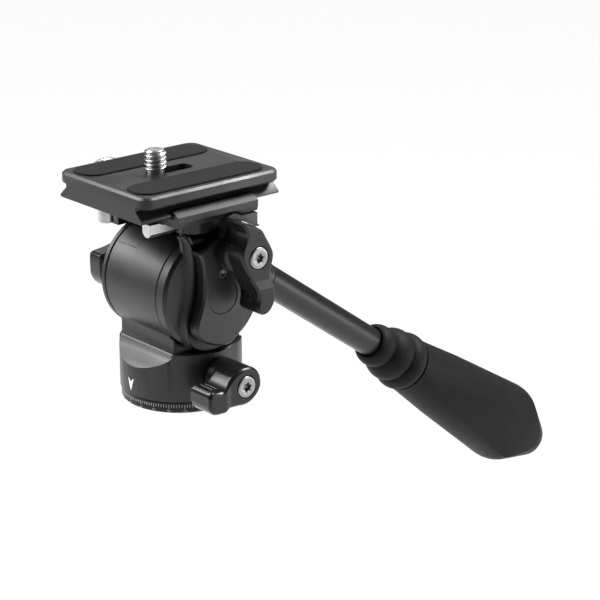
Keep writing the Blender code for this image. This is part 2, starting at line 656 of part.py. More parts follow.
def make_pan_housing():
    """The turning cup, the waisted neck above it and the barrel across its top, in one casting."""
    cup = [
        (0.0, CUP_RIM_HEIGHT), (CUP_RADIUS - CUP_CHAMFER, CUP_RIM_HEIGHT),
        (CUP_RADIUS, CUP_RIM_HEIGHT - CUP_CHAMFER), (CUP_RADIUS, CUP_BOTTOM),
        (CUP_RADIUS - CUP_WALL, CUP_BOTTOM), (CUP_RADIUS - CUP_WALL, CUP_CEILING), (0.0, CUP_CEILING),
    ]
    housing = turned("pan_housing", "anodised_metal", cup)
    neck_radius = CUP_RADIUS - NECK_SETBACK
    left = math.degrees(math.acos(NECK_LEFT / neck_radius))
    right = math.degrees(math.acos(NECK_RIGHT / neck_radius))
    outline = arc((0.0, 0.0), neck_radius, right, 180 - left, SMALL_SIDES)
    outline += arc((0.0, 0.0), neck_radius, 180 + left, 360 - right, SMALL_SIDES)
    waist = [
        (across, CUP_RIM_HEIGHT + up) for across, up in flowing(scaled(NECK_WAIST_SHARES, BARREL_RADIUS))
    ]
    neck = slab("neck_block", None, outline, CUP_CEILING + CUP_CHAMFER, waist[-1][1] - FIT_GAP)
    tilt_centre = (0.0, 0.0, TILT_HEIGHT)
    chamfered = [
        (0.0, BARREL_RIGHT), (BARREL_RADIUS - BARREL_CHAMFER, BARREL_RIGHT),
        (BARREL_RADIUS, BARREL_RIGHT - BARREL_CHAMFER), (BARREL_RADIUS, BARREL_CHAMFER - BARREL_LEFT),
        (BARREL_RADIUS - BARREL_CHAMFER, -BARREL_LEFT), (0.0, -BARREL_LEFT),
    ]
    barrel = turned("barrel_body", None, chamfered, tilt_centre, BARREL_TURN)
    join(housing, neck)
    outside = CUP_RADIUS + OVERRUN
    for side, name in ((1, "back"), (-1, "front")):
        outline = [(side * across, up) for across, up in waist]
        outline += [(side * outside, waist[-1][1]), (side * outside, waist[0][1])]
        cut(housing, slab(f"waist_{name}", None, outline, -NECK_LEFT, NECK_RIGHT, turn=ACROSS))
    join(housing, barrel)
    swing = BARREL_RADIUS + SWING_GAP
    right_swing = rod(
        "right_swing", None, swing, BARREL_RIGHT + SEAM_GAP, CUP_RADIUS + OVERRUN, tilt_centre, BARREL_TURN,
        sides=LARGE_SIDES,
    )
    left_swing = rod(
        "left_swing", None, swing, -CUP_RADIUS - OVERRUN, -BARREL_LEFT - SEAM_GAP, tilt_centre, BARREL_TURN,
        sides=LARGE_SIDES,
    )
    bore = rod(
        "barrel_bore", None, BARREL_BORE, -BARREL_LEFT - OVERRUN, BARREL_RIGHT + OVERRUN,
        tilt_centre, BARREL_TURN,
        sides=SMALL_SIDES * 2,
    )
    spindle_hole = rod("spindle_hole", None, SPINDLE_RADIUS + FIT_GAP, SOCKET_DEPTH, TILT_HEIGHT)
    nut_room = rod("nut_room", None, NUT_RADIUS + NUT_ROOM, NUT_SEAT_HEIGHT, TILT_HEIGHT)
    knob_centre = (0.0, 0.0, PAN_KNOB_HEIGHT)
    shoe_hole = rod(
        "pan_shoe_hole", None, SHOE_HOLE_RADIUS, DRUM_RADIUS, CUP_RADIUS + OVERRUN, knob_centre, BARREL_TURN
    )
    cut(housing, right_swing, left_swing, spindle_hole, nut_room, bore, shoe_hole)
    low = DRUM_TOP + SEAT_GAP
    high = low + WASHER_THICKNESS
    tube("pan_thrust_washer", "bearing_plastic", SPINDLE_RADIUS + FIT_GAP, DRUM_RADIUS, low, high)


def make_bearings(tilt):
    """The axle, the two bushes that it turns in and the damped rotor between them."""
    rod("tilt_axle", "inner_steel", AXLE_RADIUS, -AXLE_LEFT, AXLE_RIGHT, turn=BARREL_TURN, parent=tilt)
    inner = AXLE_RADIUS + FIT_GAP
    outer = BARREL_BORE - FIT_GAP
    centre = (0.0, 0.0, TILT_HEIGHT)
    left_high = SEAT_GAP - BARREL_LEFT + BUSH_LENGTH
    right_low = BARREL_RIGHT - SEAT_GAP - BUSH_LENGTH
    for name, low in (("left", left_high - BUSH_LENGTH), ("right", right_low)):
        tube(
            f"tilt_bush_{name}", "bearing_plastic", inner, outer, low, low + BUSH_LENGTH, centre,
            BARREL_TURN,
        )
    low = left_high + FIT_GAP
    tube(
        "drag_rotor", "inner_steel", inner, ROTOR_RADIUS, low, low + ROTOR_LENGTH, turn=BARREL_TURN,
        parent=tilt,
    )


def strap_outline():
    """The strap that rises from a disc as large as the barrel and flares under the platform."""
    strap = flowing(scaled(STRAP_SHARES, BARREL_RADIUS))
    strap.append((strap[-1][0], STRAP_TOP))
    return strap + [(-across, up) for across, up in reversed(strap)]


def strapped_disc():
    """A disc and its strap in one outline."""
    strap = strap_outline()
    lift = math.degrees(math.atan2(strap[0][1], strap[0][0]))
    return arc((0.0, 0.0), BARREL_RADIUS, 180 - lift, 360 + lift, LARGE_SIDES)[1:-1] + strap


def make_scoop(front, tilt):
    """A hollow fillet from the disc's face up to the arm's front edge, which thins out at both ends."""
    climb = ARM_OUTER - SEAM_GAP - DISC_OUTER
    sections = []
    for i, (edge, up) in enumerate(front):
        width = SCOOP_WIDTH * math.sqrt(math.sin(math.pi * (i + 1) / (len(front) + 1)))
        section = [(DISC_OUTER - ARM_LAP, edge - width)]
        for step in range(SCOOP_STEPS + 1):
            angle = math.pi / 2 * step / SCOOP_STEPS
            rise = climb * (1 - math.cos(angle))
            section.append((DISC_OUTER + rise, edge - width * (1 - math.sin(angle))))
        section += [(DISC_OUTER + climb, edge + ARM_LAP), (DISC_OUTER - ARM_LAP, edge + ARM_LAP)]
        sections.append([(out, across, up) for out, across in section])

    def build(work):
        rows = [[work.verts.new(point) for point in section] for section in sections]
        for row, following in zip(rows, rows[1:]):
            for i in range(len(row)):
                work.faces.new((row[i - 1], row[i], following[i], following[i - 1]))
        work.faces.new(rows[0])
        work.faces.new(rows[-1])
        bmesh.ops.recalc_face_normals(work, faces=work.faces)

    return place("arm_scoop", mesh_of("arm_scoop", build), None, parent=tilt)


def make_yoke(tilt):
    """The cheeks on both ends of the barrel, the right arm with the handle's boss, and the arm's cover."""
    axle_hole = rod(
        "axle_hole", None, AXLE_RADIUS + FIT_GAP, -AXLE_LEFT - OVERRUN, COVER_INNER,
        turn=BARREL_TURN, parent=tilt
    )
    stud_hole = rod(
        "stud_hole", None, SHOE_HOLE_RADIUS, BARREL_RIGHT, COVER_OUTER + OVERRUN,
        (0.0, TILT_KNOB_Y, TILT_KNOB_RISE), BARREL_TURN, tilt,
    )
    left = slab(
        "left_yoke_cheek", "anodised_metal", strapped_disc(), LEFT_CHEEK_OUTER,
        LEFT_CHEEK_OUTER + LEFT_CHEEK_THICKNESS, turn=ACROSS, parent=tilt,
    )
    chamfer(left, CHEEK_CHAMFER)
    cut(left, axle_hole)
    disc = [
        (0.0, DISC_OUTER), (BARREL_RADIUS - DISC_CHAMFER, DISC_OUTER),
        (BARREL_RADIUS, DISC_OUTER - DISC_CHAMFER), (BARREL_RADIUS, DISC_INNER), (0.0, DISC_INNER),
    ]
    arm = turned("right_yoke_arm", "anodised_metal", disc, turn=BARREL_TURN, parent=tilt)
    foot = BARREL_RADIUS / 2
    strap = slab(
        "arm_strap", None, strap_outline() + [(-foot, foot), (foot, foot)], DISC_INNER + SEAM_GAP,
        DISC_OUTER - SEAM_GAP, turn=ACROSS, parent=tilt,
    )
    front = scaled(ARM_FRONT_SHARES, BARREL_RADIUS)
    toe = math.degrees(math.atan2(front[-1][1], front[-1][0]))
    heel = math.degrees(math.acos(ARM_BACK_HALF / BARREL_RADIUS))
    outline = [(front[0][0], STRAP_TOP)] + flowing(front)[:-1]
    outline += arc((0.0, 0.0), BARREL_RADIUS, toe, heel, LONG_ARC_STEPS)
    outline.append((ARM_BACK_HALF, STRAP_TOP))
    plate = slab("arm_plate", None, outline, DISC_OUTER - ARM_LAP, ARM_OUTER, turn=ACROSS, parent=tilt)
    handle_foot = (HANDLE_X, HANDLE_Y, HANDLE_RISE)
    boss = rod(
        "handle_boss", None, BOSS_RADIUS, BAR_START - SEAT_GAP - BOSS_LENGTH, BAR_START - SEAT_GAP,
        handle_foot, HANDLE_TURN, tilt,
    )
    curl = flowing(scaled(LIP_OUTER_SHARES, BARREL_RADIUS))
    curl += flowing(scaled(LIP_INNER_SHARES, BARREL_RADIUS))
    lip = slab("arm_lip", None, curl, LIP_BACK, LIP_FRONT, turn=ALONG, parent=tilt)
    join(arm, strap, plate, make_scoop(front, tilt), boss, lip)
    socket = rod(
        "handle_socket", None, SPIGOT_RADIUS + FIT_GAP, BAR_START - SPIGOT_LENGTH - SEAT_GAP,
        BAR_START + OVERRUN,
        handle_foot, HANDLE_TURN, tilt,
    )
    bar_room = rod(
        "bar_room", None, BAR_RADIUS + FIT_GAP, BAR_START - SEAT_GAP, BAR_START + BARREL_RADIUS,
        handle_foot, HANDLE_TURN, tilt,
    )
    cut(arm, axle_hole, stud_hole, socket, bar_room)

    edge = scaled(COVER_EDGE_SHARES, BARREL_RADIUS)
    outline = flowing(edge) + scaled(COVER_TOP_SHARES, BARREL_RADIUS)
    cover = slab("arm_cover", "anodised_metal", outline, COVER_INNER, COVER_OUTER, turn=ACROSS, parent=tilt)
    chamfer(cover, COVER_CHAMFER)
    cap_hole = rod(
        "cap_hole", None, AXLE_CAP_RADIUS + SEAM_GAP, COVER_INNER - OVERRUN, COVER_OUTER + OVERRUN,
        turn=BARREL_TURN, parent=tilt, sides=LARGE_SIDES,
    )
    screw_place = (0.0, 0.0, COVER_SCREW_RISE)
    screw_hole = rod(
        "cover_screw_hole", None, COVER_SCREW_RADIUS + SEAM_GAP, COVER_INNER - OVERRUN,
        COVER_OUTER + OVERRUN,
        screw_place, BARREL_TURN, tilt,
    )
    cut(cover, cap_hole, stud_hole, screw_hole)
    rod(
        "axle_cap", "anodised_metal", AXLE_CAP_RADIUS, AXLE_RIGHT + SEAT_GAP + SEAT_GAP,
        COVER_OUTER - SEAM_GAP,
        turn=BARREL_TURN, parent=tilt, sides=LARGE_SIDES,
    )
    rod(
        "arm_cover_screw", "inner_steel", COVER_SCREW_RADIUS, COVER_INNER, COVER_OUTER - COVER_SCREW_SINK,
        screw_place, BARREL_TURN, tilt,
    )


def jaw_profile(sign, gap):
    """The hooked top of a clamp jaw in (X, Z), from the inner seat edge over the crest to the outer side."""
    slope = (DOVETAIL_HALF - DOVETAIL_NECK_HALF) / DOVETAIL_FLANK_DROP
    crest = DOVETAIL_NECK_HALF + (FLANK_TOP - JAW_TOP) * slope + gap
    foot = DOVETAIL_HALF + gap
    outer = PLATFORM_RIGHT - PLATE_X
    points = [
        (foot, PLATFORM_SEAT), (foot, FLANK_BOTTOM), (crest, JAW_TOP), (crest + JAW_CREST, JAW_TOP),
        (outer, JAW_SHOULDER), (outer, PLATFORM_LEDGE + JAW_FOOT_RISE + FIT_GAP),
    ]
    return [(PLATE_X + sign * across, up) for across, up in points]


def make_clamp(tilt):
    """The platform with its fixed jaw, the moving jaw, the clamp screw with its knob, and the catch."""
    fixed = jaw_profile(-1, FIT_GAP)
    outer_left = fixed[-1][0]
    section = [
        (outer_left + JAW_FOOT_INSET, PLATFORM_LEDGE), (outer_left + JAW_FOOT_INSET, PLATFORM_RISE),
        (LEDGE_START, PLATFORM_RISE), (LEDGE_START, PLATFORM_SEAT),
    ] + fixed
    platform = slab(
        "clamp_platform", "anodised_metal", section, -PLATFORM_BACK, PLATFORM_FRONT, turn=ALONG, parent=tilt
    )
    front_room = box(
        "front_room", None, (outer_left - OVERRUN, -PLATFORM_FRONT - OVERRUN, PLATFORM_RISE - OVERRUN),
        (LEDGE_START + OVERRUN, -BLOCK_FRONT, PLATFORM_LEDGE), tilt,
    )
    middle = (BLOCK_RIGHT - BLOCK_CORNER, BLOCK_CORNER + SEAM_GAP - BLOCK_FRONT)
    corner = arc(middle, BLOCK_CORNER, -90, 0, SMALL_SIDES)
    inner = LEDGE_START - BLOCK_LAP
    back = PLATFORM_BACK - SEAM_GAP
    outline = [(inner, back), (inner, corner[0][1])] + corner + [(BLOCK_RIGHT, back)]
    ledge = slab("platform_ledge", None, outline, PLATFORM_RISE + SEAM_GAP, PLATFORM_LEDGE, parent=tilt)
    hood_block = box(
        "hood_block", None, (BLOCK_RIGHT - BLOCK_LAP, HOOD_BLOCK_FRONT, PLATFORM_RISE + 2 * SEAM_GAP),
        (PLATFORM_RIGHT, PLATFORM_BACK - 2 * SEAM_GAP, PLATFORM_LEDGE - SEAM_GAP), tilt,
    )
    gusset = box(
        "platform_gusset", None, (-GUSSET_LEFT, -GUSSET_FRONT, PLATFORM_RISE - GUSSET_DEPTH),
        (-GUSSET_RIGHT, GUSSET_BACK, PLATFORM_RISE + GUSSET_DEPTH / 2), tilt,
    )
    knob_place = (0.0, TILT_KNOB_Y, TILT_KNOB_RISE)
    hollow = slab(
        "hood_hollow", None, scaled(HOLLOW_SHARES, HOOD_REACH), HOLLOW_START, PLATFORM_RIGHT + OVERRUN,
        knob_place, ACROSS, tilt,
    )
    join(ledge, hood_block)
    cut(ledge, hollow)
    inner_edge = flowing(scaled(HOOD_INNER_SHARES, HOOD_REACH))
    outer_edge = flowing(scaled(HOOD_OUTER_SHARES, HOOD_REACH))
    hood = slab(
        "knob_hood", None, inner_edge + outer_edge, HOOD_INNER, HOOD_OUTER, knob_place, ACROSS, tilt
    )
    cut(platform, front_room)
    join(platform, ledge, gusset, hood)
    screw_place = (0.0, CLAMP_Y, CLAMP_RISE)
    screw_hole = rod(
        "clamp_screw_hole", None, CLAMP_SCREW_RADIUS + FIT_GAP, outer_left - OVERRUN, LEDGE_START,
        screw_place, BARREL_TURN, tilt,
    )
    tab_room = box(
        "jaw_tab_room", None,
        (TAB_INNER - FIT_GAP, CLAMP_Y - TAB_HALF - FIT_GAP, PLATFORM_RISE - OVERRUN),
        (TAB_OUTER + JAW_TRAVEL + FIT_GAP, CLAMP_Y + TAB_HALF + FIT_GAP, PLATFORM_SEAT + OVERRUN), tilt,
    )
    catch_outline = scaled(CATCH_CORNER_SHARES, CATCH_WIDTH, CATCH_HEIGHT)
    room_outline = scaled(CATCH_CORNER_SHARES, CATCH_WIDTH + 2 * FIT_GAP, CATCH_HEIGHT + 2 * FIT_GAP)
    catch_place = (CATCH_X, 0.0, CATCH_RISE)
    catch_front = PLATFORM_FRONT + CATCH_REACH
    catch_back = BLOCK_FRONT - CATCH_BURIED
    catch_room = slab(
        "catch_room", None, room_outline, catch_back - CATCH_TRAVEL - FIT_GAP, catch_front + OVERRUN,
        catch_place, ALONG, tilt,
    )
    cut(platform, screw_hole, tab_room, catch_room)
    slab("safety_catch", "bright_steel", catch_outline, catch_back, catch_front, catch_place, ALONG, tilt)

    section = jaw_profile(1, FIT_GAP)
    start = LEDGE_START + FIT_GAP
    low = PLATFORM_LEDGE + FIT_GAP
    section += [(PLATFORM_RIGHT - JAW_FOOT_INSET, low), (start, low), (start, PLATFORM_SEAT)]
    jaw = slab(
        "moving_jaw", "anodised_metal", section, -PLATFORM_BACK, PLATFORM_FRONT, turn=ALONG, parent=tilt,
    )
    bridge = (low + PLATFORM_SEAT) / 2
    tab = box(
        "jaw_tab", None, (TAB_INNER, CLAMP_Y - TAB_HALF, PLATFORM_RISE + FIT_GAP),
        (TAB_OUTER, CLAMP_Y + TAB_HALF, bridge), tilt,
    )
    bar = box(
        "jaw_bridge", None, (TAB_INNER + SEAM_GAP, CLAMP_Y + SEAM_GAP - TAB_HALF, bridge - TAB_BRIDGE),
        (start + TAB_BRIDGE, CLAMP_Y + TAB_HALF - SEAM_GAP, bridge - SEAM_GAP), tilt,
    )
    join(tab, bar)
    join(jaw, tab)
    tab_hole = rod(
        "jaw_tab_hole", None, CLAMP_SCREW_RADIUS + FIT_GAP, TAB_INNER - OVERRUN, TAB_OUTER + OVERRUN,
        screw_place, BARREL_TURN, tilt,
    )
    grown = HOOD_REACH + 2 * FIT_GAP
    notch_outline = flowing(scaled(HOOD_OUTER_SHARES, grown)) + scaled(HOOD_INNER_SHARES[:1], HOOD_REACH)
    notch = slab(
        "hood_notch", None, notch_outline, HOOD_INNER - JAW_TRAVEL - FIT_GAP, HOOD_OUTER + OVERRUN,
        knob_place, ACROSS, tilt,
    )
    cut(jaw, notch, tab_hole)
    make_clamp_knob(tilt, screw_place, outer_left)


def make_clamp_knob(tilt, screw_place, platform_side):
    """A ridged thumb knob with a slim neck, on the end of the clamp screw."""
    clamp = axis_empty("clamp_axis", screw_place, tilt)
    rim = []
    for ridge in range(CLAMP_RIDGES):
        turn = 360 * ridge / CLAMP_RIDGES
        crest = [(share, CLAMP_KNOB_RADIUS) for share in RIDGE_CREST_SHARES]
        groove = [(share, CLAMP_KNOB_RADIUS - CLAMP_RIDGE_DEPTH) for share in RIDGE_GROOVE_SHARES]
        for share, radius in crest + groove:
            angle = math.radians(turn + share * 360 / CLAMP_RIDGES)
            rim.append((radius * math.cos(angle), radius * math.sin(angle)))
    knob = slab(
        "clamp_knob", "anodised_metal", rim, -CLAMP_KNOB_OUTER, -CLAMP_KNOB_INNER, turn=ACROSS, parent=clamp
    )
    neck = rod(
        "clamp_neck", None, CLAMP_NECK_RADIUS, -CLAMP_KNOB_INNER - CLAMP_RIDGE_DEPTH,
        platform_side - SEAT_GAP,
        turn=BARREL_TURN, parent=clamp,
    )
    join(knob, neck)
    screw_start = -CLAMP_KNOB_INNER - CLAMP_SCREW_BITE
    hole = rod(
        "clamp_knob_hole", None, CLAMP_SCREW_RADIUS + FIT_GAP, screw_start - SEAT_GAP,
        platform_side + OVERRUN,
        turn=BARREL_TURN, parent=clamp,
    )
    cut(knob, hole)
    rod(
        "clamp_screw", "inner_steel", CLAMP_SCREW_RADIUS, screw_start, TAB_OUTER - SEAT_GAP,
        turn=BARREL_TURN, parent=clamp,
    )


def make_plate(tilt):
    """The quick release plate with its two pads, stop screw, and the camera screw on its slider."""
    plate_axis = axis_empty("plate_slide", (PLATE_X, PLATE_Y, 0.0), tilt)
    plate = slab(
        "quick_release_plate", "anodised_metal",
        rounded_box(PLATE_HALF_WIDTH, PLATE_HALF_LENGTH, PLATE_CORNER),
        SLAB_BOTTOM, PLATE_TOP, parent=plate_axis,
    )
    chamfer(plate, PLATE_CHAMFER)
    half = [
        (DOVETAIL_NECK_HALF, SLAB_BOTTOM + PLATE_CHAMFER + SEAM_GAP), (DOVETAIL_NECK_HALF, FLANK_TOP),
        (DOVETAIL_HALF, FLANK_BOTTOM), (DOVETAIL_HALF, PLATE_BOTTOM + DOVETAIL_FOOT_BEVEL),
        (DOVETAIL_HALF - DOVETAIL_FOOT_BEVEL, PLATE_BOTTOM),
    ]
    section = half + [(-across, up) for across, up in reversed(half)]
    dovetail = slab(
        "plate_dovetail", None, section, -PLATE_HALF_LENGTH, PLATE_HALF_LENGTH, turn=ALONG, parent=plate_axis
    )
    join(plate, dovetail)
    slot_outline = rounded_box(SLOT_WIDTH / 2, SLOT_HALF_LENGTH, SLOT_WIDTH / 2 - SEAM_GAP)
    slot = slab("camera_slot", None, slot_outline, FLANK_BOTTOM, PLATE_TOP + OVERRUN, parent=plate_axis)
    recess = slab(
        "slider_recess", None, rounded_box(RECESS_HALF_WIDTH, RECESS_HALF_LENGTH, RECESS_CORNER),
        PLATE_BOTTOM - OVERRUN, RECESS_CEILING, parent=plate_axis,
    )
    stop_place = (STOP_X - PLATE_X, STOP_EDGE - PLATE_HALF_LENGTH, 0.0)
    stop_hole = rod(
        "stop_hole", None, STOP_RADIUS + FIT_GAP, STOP_BOTTOM, STOP_TOP + SEAT_GAP, stop_place,
        parent=plate_axis,
    )
    cut(plate, slot, recess, stop_hole)
    rod(
        "plate_stop_screw", "bright_steel", STOP_RADIUS, STOP_BOTTOM, STOP_TOP, stop_place,
        parent=plate_axis,
    )
    for sign, name in ((-1, "left"), (1, "right")):
        make_pad(plate_axis, plate, sign, name)
    make_camera_screw(plate_axis)


def pad_outline(sign, grow):
    """A long pad with slanted round ends, on one side of the plate."""
    inner = PAD_INNER - grow
    outer = PAD_OUTER + grow
    front = -PAD_SHIFT - PAD_HALF_LENGTH - grow
    back = PAD_HALF_LENGTH + grow - PAD_SHIFT
    corners = [
        (sign * inner, front + PAD_SLANT), (sign * outer, front), (sign * outer, back),
        (sign * inner, back - PAD_SLANT),
    ]
    return rounded(corners, PAD_CORNER + grow)


def make_pad(plate_axis, plate, sign, name):
    pocket = slab(
        f"pad_pocket_{name}", None, pad_outline(sign, SEAM_GAP), PLATE_TOP - PAD_SINK, PLATE_TOP + OVERRUN,
        parent=plate_axis,
    )
    cut(plate, pocket)
    slab(
        f"plate_pad_{name}", "pad_rubber", pad_outline(sign, 0.0), PLATE_TOP - PAD_SINK + SEAM_GAP,
        PLATE_TOP + PAD_RISE, parent=plate_axis,
    )


def make_camera_screw(plate_axis):
    """A thumb-head screw held by a slider in the plate's recess."""
    slider_axis = axis_empty("camera_screw_axis", (0.0, -CAMERA_BACK, 0.0), plate_axis)
    slider = box(
        "screw_slider", "inner_steel",
        (-SLIDER_HALF_WIDTH, -SLIDER_HALF_LENGTH, SLIDER_TOP - SLIDER_THICKNESS),
        (SLIDER_HALF_WIDTH, SLIDER_HALF_LENGTH, SLIDER_TOP), slider_axis,
    )
    hole = rod(
        "slider_hole", None, CAMERA_NECK_RADIUS + FIT_GAP, PLATE_BOTTOM, PLATE_TOP + OVERRUN,
        parent=slider_axis
    )
    cut(slider, hole)
    top = PLATE_TOP + CAMERA_SCREW_RISE
    shoulder = PLATE_TOP + SEAT_GAP
    head_top = SLIDER_TOP - SLIDER_THICKNESS - SEAT_GAP
    head_bottom = head_top - CAMERA_HEAD_HEIGHT
    profile = [
        (0.0, top), (CAMERA_THREAD_RADIUS - CAMERA_CHAMFER, top),
        (CAMERA_THREAD_RADIUS, top - CAMERA_CHAMFER),
        (CAMERA_THREAD_RADIUS, shoulder), (CAMERA_NECK_RADIUS, shoulder), (CAMERA_NECK_RADIUS, head_top),
        (CAMERA_HEAD_RADIUS, head_top), (CAMERA_HEAD_RADIUS, head_bottom), (0.0, head_bottom),
    ]
    screw = turned("camera_screw", "bright_steel", profile, parent=slider_axis, sides=SMALL_SIDES)
    coin_slot = box(
        "coin_slot", None, (-CAMERA_HEAD_RADIUS - OVERRUN, -CAMERA_COIN_SLOT / 2, head_bottom - OVERRUN),
        (CAMERA_HEAD_RADIUS + OVERRUN, CAMERA_COIN_SLOT / 2, head_bottom + CAMERA_COIN_DEPTH), slider_axis,
    )
    cut(screw, coin_slot)


def make_wing_knob(name, axis, shares, reach, hub_radius, hub_start, wing_inner, wing_outer, stud_start):
    """A wing on a round hub, with the stud that it turns and the cap screw that holds it."""
    wing = slab(
        f"{name}_knob", "black_plastic", flowing(scaled(shares, reach), closed=True), wing_inner,
        wing_outer, turn=ACROSS, parent=axis,
    )
    chamfer(wing, WING_CHAMFER)
    hub = rod(
        f"{name}_hub", None, hub_radius, hub_start, wing_inner + WING_CHAMFER + SEAT_GAP, turn=BARREL_TURN,
        parent=axis, sides=SMALL_SIDES * 2,
    )
    join(wing, hub)
    head_top = wing_outer - CAP_SINK
    head_low = head_top - CAP_HEAD_HEIGHT
    recess = rod(
        f"{name}_cap_recess", None, CAP_RECESS_RADIUS, head_low - SEAT_GAP, wing_outer + OVERRUN,
        turn=BARREL_TURN, parent=axis,
    )
    bore = rod(
        f"{name}_bore", None, STUD_RADIUS + FIT_GAP, hub_start - OVERRUN, wing_outer,
        turn=BARREL_TURN, parent=axis
    )
    cut(wing, recess, bore)
    stud_end = head_low - CAP_SHANK_LENGTH - SEAT_GAP
    rod(f"{name}_stud", "inner_steel", STUD_RADIUS, stud_start, stud_end, turn=BARREL_TURN, parent=axis)
    cap = [
        (0.0, head_top), (CAP_SCREW_RADIUS, head_top), (CAP_SCREW_RADIUS, head_low),
        (CAP_SHANK_RADIUS, head_low),
        (CAP_SHANK_RADIUS, head_low - CAP_SHANK_LENGTH), (0.0, head_low - CAP_SHANK_LENGTH),
    ]
    turned(f"{name}_cap_screw", "bright_steel", cap, turn=BARREL_TURN, parent=axis, sides=SMALL_SIDES)


def make_locks(tilt):
    """The tilt lock on the arm and the pan lock on the cup, each with the shoe that it presses."""
    tilt_place = (0.0, TILT_KNOB_Y, TILT_KNOB_RISE)
    shoe_low = BARREL_RIGHT + SHOE_GAP
    shoe_high = shoe_low + TILT_SHOE_LENGTH
    rod(
        "tilt_brake_shoe", "bearing_plastic", STUD_RADIUS, shoe_low, shoe_high, tilt_place, BARREL_TURN, tilt
    )
    axis = axis_empty("tilt_lock_axis", tilt_place, tilt)
    make_wing_knob(
        "tilt_lock", axis, TILT_WING_SHARES, TILT_WING_REACH, TILT_HUB_RADIUS, COVER_OUTER + SEAT_GAP,
        TILT_WING_INNER, TILT_WING_OUTER, shoe_high + STUD_ROOM,
    )
    pan_place = (0.0, 0.0, PAN_KNOB_HEIGHT)
    shoe_low = DRUM_RADIUS + SHOE_GAP
    shoe_high = shoe_low + PAN_SHOE_LENGTH
    rod("pan_brake_shoe", "bearing_plastic", STUD_RADIUS, shoe_low, shoe_high, pan_place, BARREL_TURN)
    axis = axis_empty("pan_lock_axis", pan_place)
    make_wing_knob(
        "pan_lock", axis, PAN_WING_SHARES, PAN_WING_REACH, PAN_HUB_RADIUS, CUP_RADIUS + SEAT_GAP,
        PAN_WING_INNER, PAN_WING_OUTER, shoe_high + STUD_ROOM,
    )


def make_drag_knob(tilt):
    """A paddle on the axle's left end that sets the tilt drag."""
    axis = axis_empty("tilt_drag_axis", (0.0, 0.0, 0.0), tilt)
    paddle = slab(
        "tilt_drag_knob", "black_plastic", flowing(scaled(DRAG_WING_SHARES, DRAG_WING_REACH), closed=True),
        -DRAG_WING_OUTER, -DRAG_WING_INNER, turn=ACROSS, parent=axis,
    )
    chamfer(paddle, WING_CHAMFER)
    hub = rod(
        "drag_hub", None, DRAG_HUB_RADIUS, -DRAG_WING_INNER - WING_CHAMFER - SEAT_GAP,
        LEFT_CHEEK_OUTER - SEAT_GAP, turn=BARREL_TURN, parent=axis, sides=SMALL_SIDES * 2,
    )
    join(paddle, hub)
    hole = rod(
        "drag_knob_hole", None, AXLE_RADIUS + FIT_GAP, -AXLE_LEFT - SEAT_GAP, LEFT_CHEEK_OUTER + OVERRUN,
        turn=BARREL_TURN, parent=axis,
    )
    cut(paddle, hole)


def make_handle(tilt):
    """The bar, the ribbed collar on it and the grip, all turned about the bar's own line."""
    line = axis_empty("handle_line", (HANDLE_X, HANDLE_Y, HANDLE_RISE), tilt, HANDLE_TURN)
    grip_start = COLLAR_START + sum(RING_LENGTHS)
    bar_end = grip_start + BAR_BURIED
    bar = [
        (0.0, bar_end), (BAR_RADIUS, bar_end), (BAR_RADIUS, BAR_START), (SPIGOT_RADIUS, BAR_START),
        (SPIGOT_RADIUS, BAR_START - SPIGOT_LENGTH), (0.0, BAR_START - SPIGOT_LENGTH),
    ]
    turned("handle_bar", "anodised_metal", bar, parent=line, sides=SMALL_SIDES * 2)

    outer = [(RING_GROOVE_RADII[0], COLLAR_START)]
    start = COLLAR_START
    for length, crest, low, high in zip(RING_LENGTHS, RING_RADII, RING_GROOVE_RADII, RING_GROOVE_RADII[1:]):
        for step in range(1, RING_STEPS + 1):
            share = step / RING_STEPS
            base = low + (high - low) * share
            bulge = (crest - (low + high) / 2) * math.sqrt(math.sin(math.pi * share))
            outer.append((base + bulge, start + length * share))
        start += length
    inner = BAR_RADIUS + FIT_GAP
    collar = list(reversed(outer)) + [(inner, COLLAR_START), (inner, grip_start)]
    turned("handle_collar", "grip_rubber", collar, parent=line, sides=SMALL_SIDES * 2, ring=True)

    low = grip_start + SEAT_GAP
    bore_end = bar_end + GRIP_BORE_SPARE
    outline = flowing(
        [(low + along, radius) for along, radius in scaled(GRIP_SHARES, GRIP_LENGTH, GRIP_RADIUS)],
    )
    profile = [(radius, height) for height, radius in reversed(outline)]
    profile += [(inner, low), (inner, bore_end), (0.0, bore_end)]
    grip = turned("handle_grip", "grip_rubber", profile, parent=line, sides=SMALL_SIDES * 2)
    for sign, name in ((-1, "left"), (1, "right")):
        face = axis_empty(
            f"grip_flat_line_{name}", (sign * GRIP_FLAT_HALF, 0.0, low), line,
            (0.0, -sign * GRIP_FLAT_LEAN, 0.0)
        )
        far = sign * GRIP_RADIUS
        low_corner = (min(0.0, far), -GRIP_RADIUS - OVERRUN, -OVERRUN)
        high_corner = (max(0.0, far), GRIP_RADIUS + OVERRUN, GRIP_LENGTH + OVERRUN)
        cut(grip, box(f"grip_flat_{name}", None, low_corner, high_corner, face))


def build_head():
    global parts, cutters
    clear_scene()
    parts = new_collection("fluid_video_head")
    cutters = new_collection("cutters")
    cutters.hide_render = True
    tilt = axis_empty("tilt_axis", (0.0, 0.0, TILT_HEIGHT))
    make_base()
    make_pan_housing()
    make_bearings(tilt)
    make_yoke(tilt)
    make_clamp(tilt)
    make_plate(tilt)
    make_locks(tilt)
    make_drag_knob(tilt)
    make_handle(tilt)


build_head()
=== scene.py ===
# %% [markdown]
# A compact fluid video head, dressed for its picture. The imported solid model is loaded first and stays
# as it is: it gives every place, size and joint. This lesson then works through the head's own parts.
# Metal bodies keep the solid's faces and get broken edges, while threads, knobs, the collar and the dial
# marks are new surfaces worked out with numpy.

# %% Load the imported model
import math

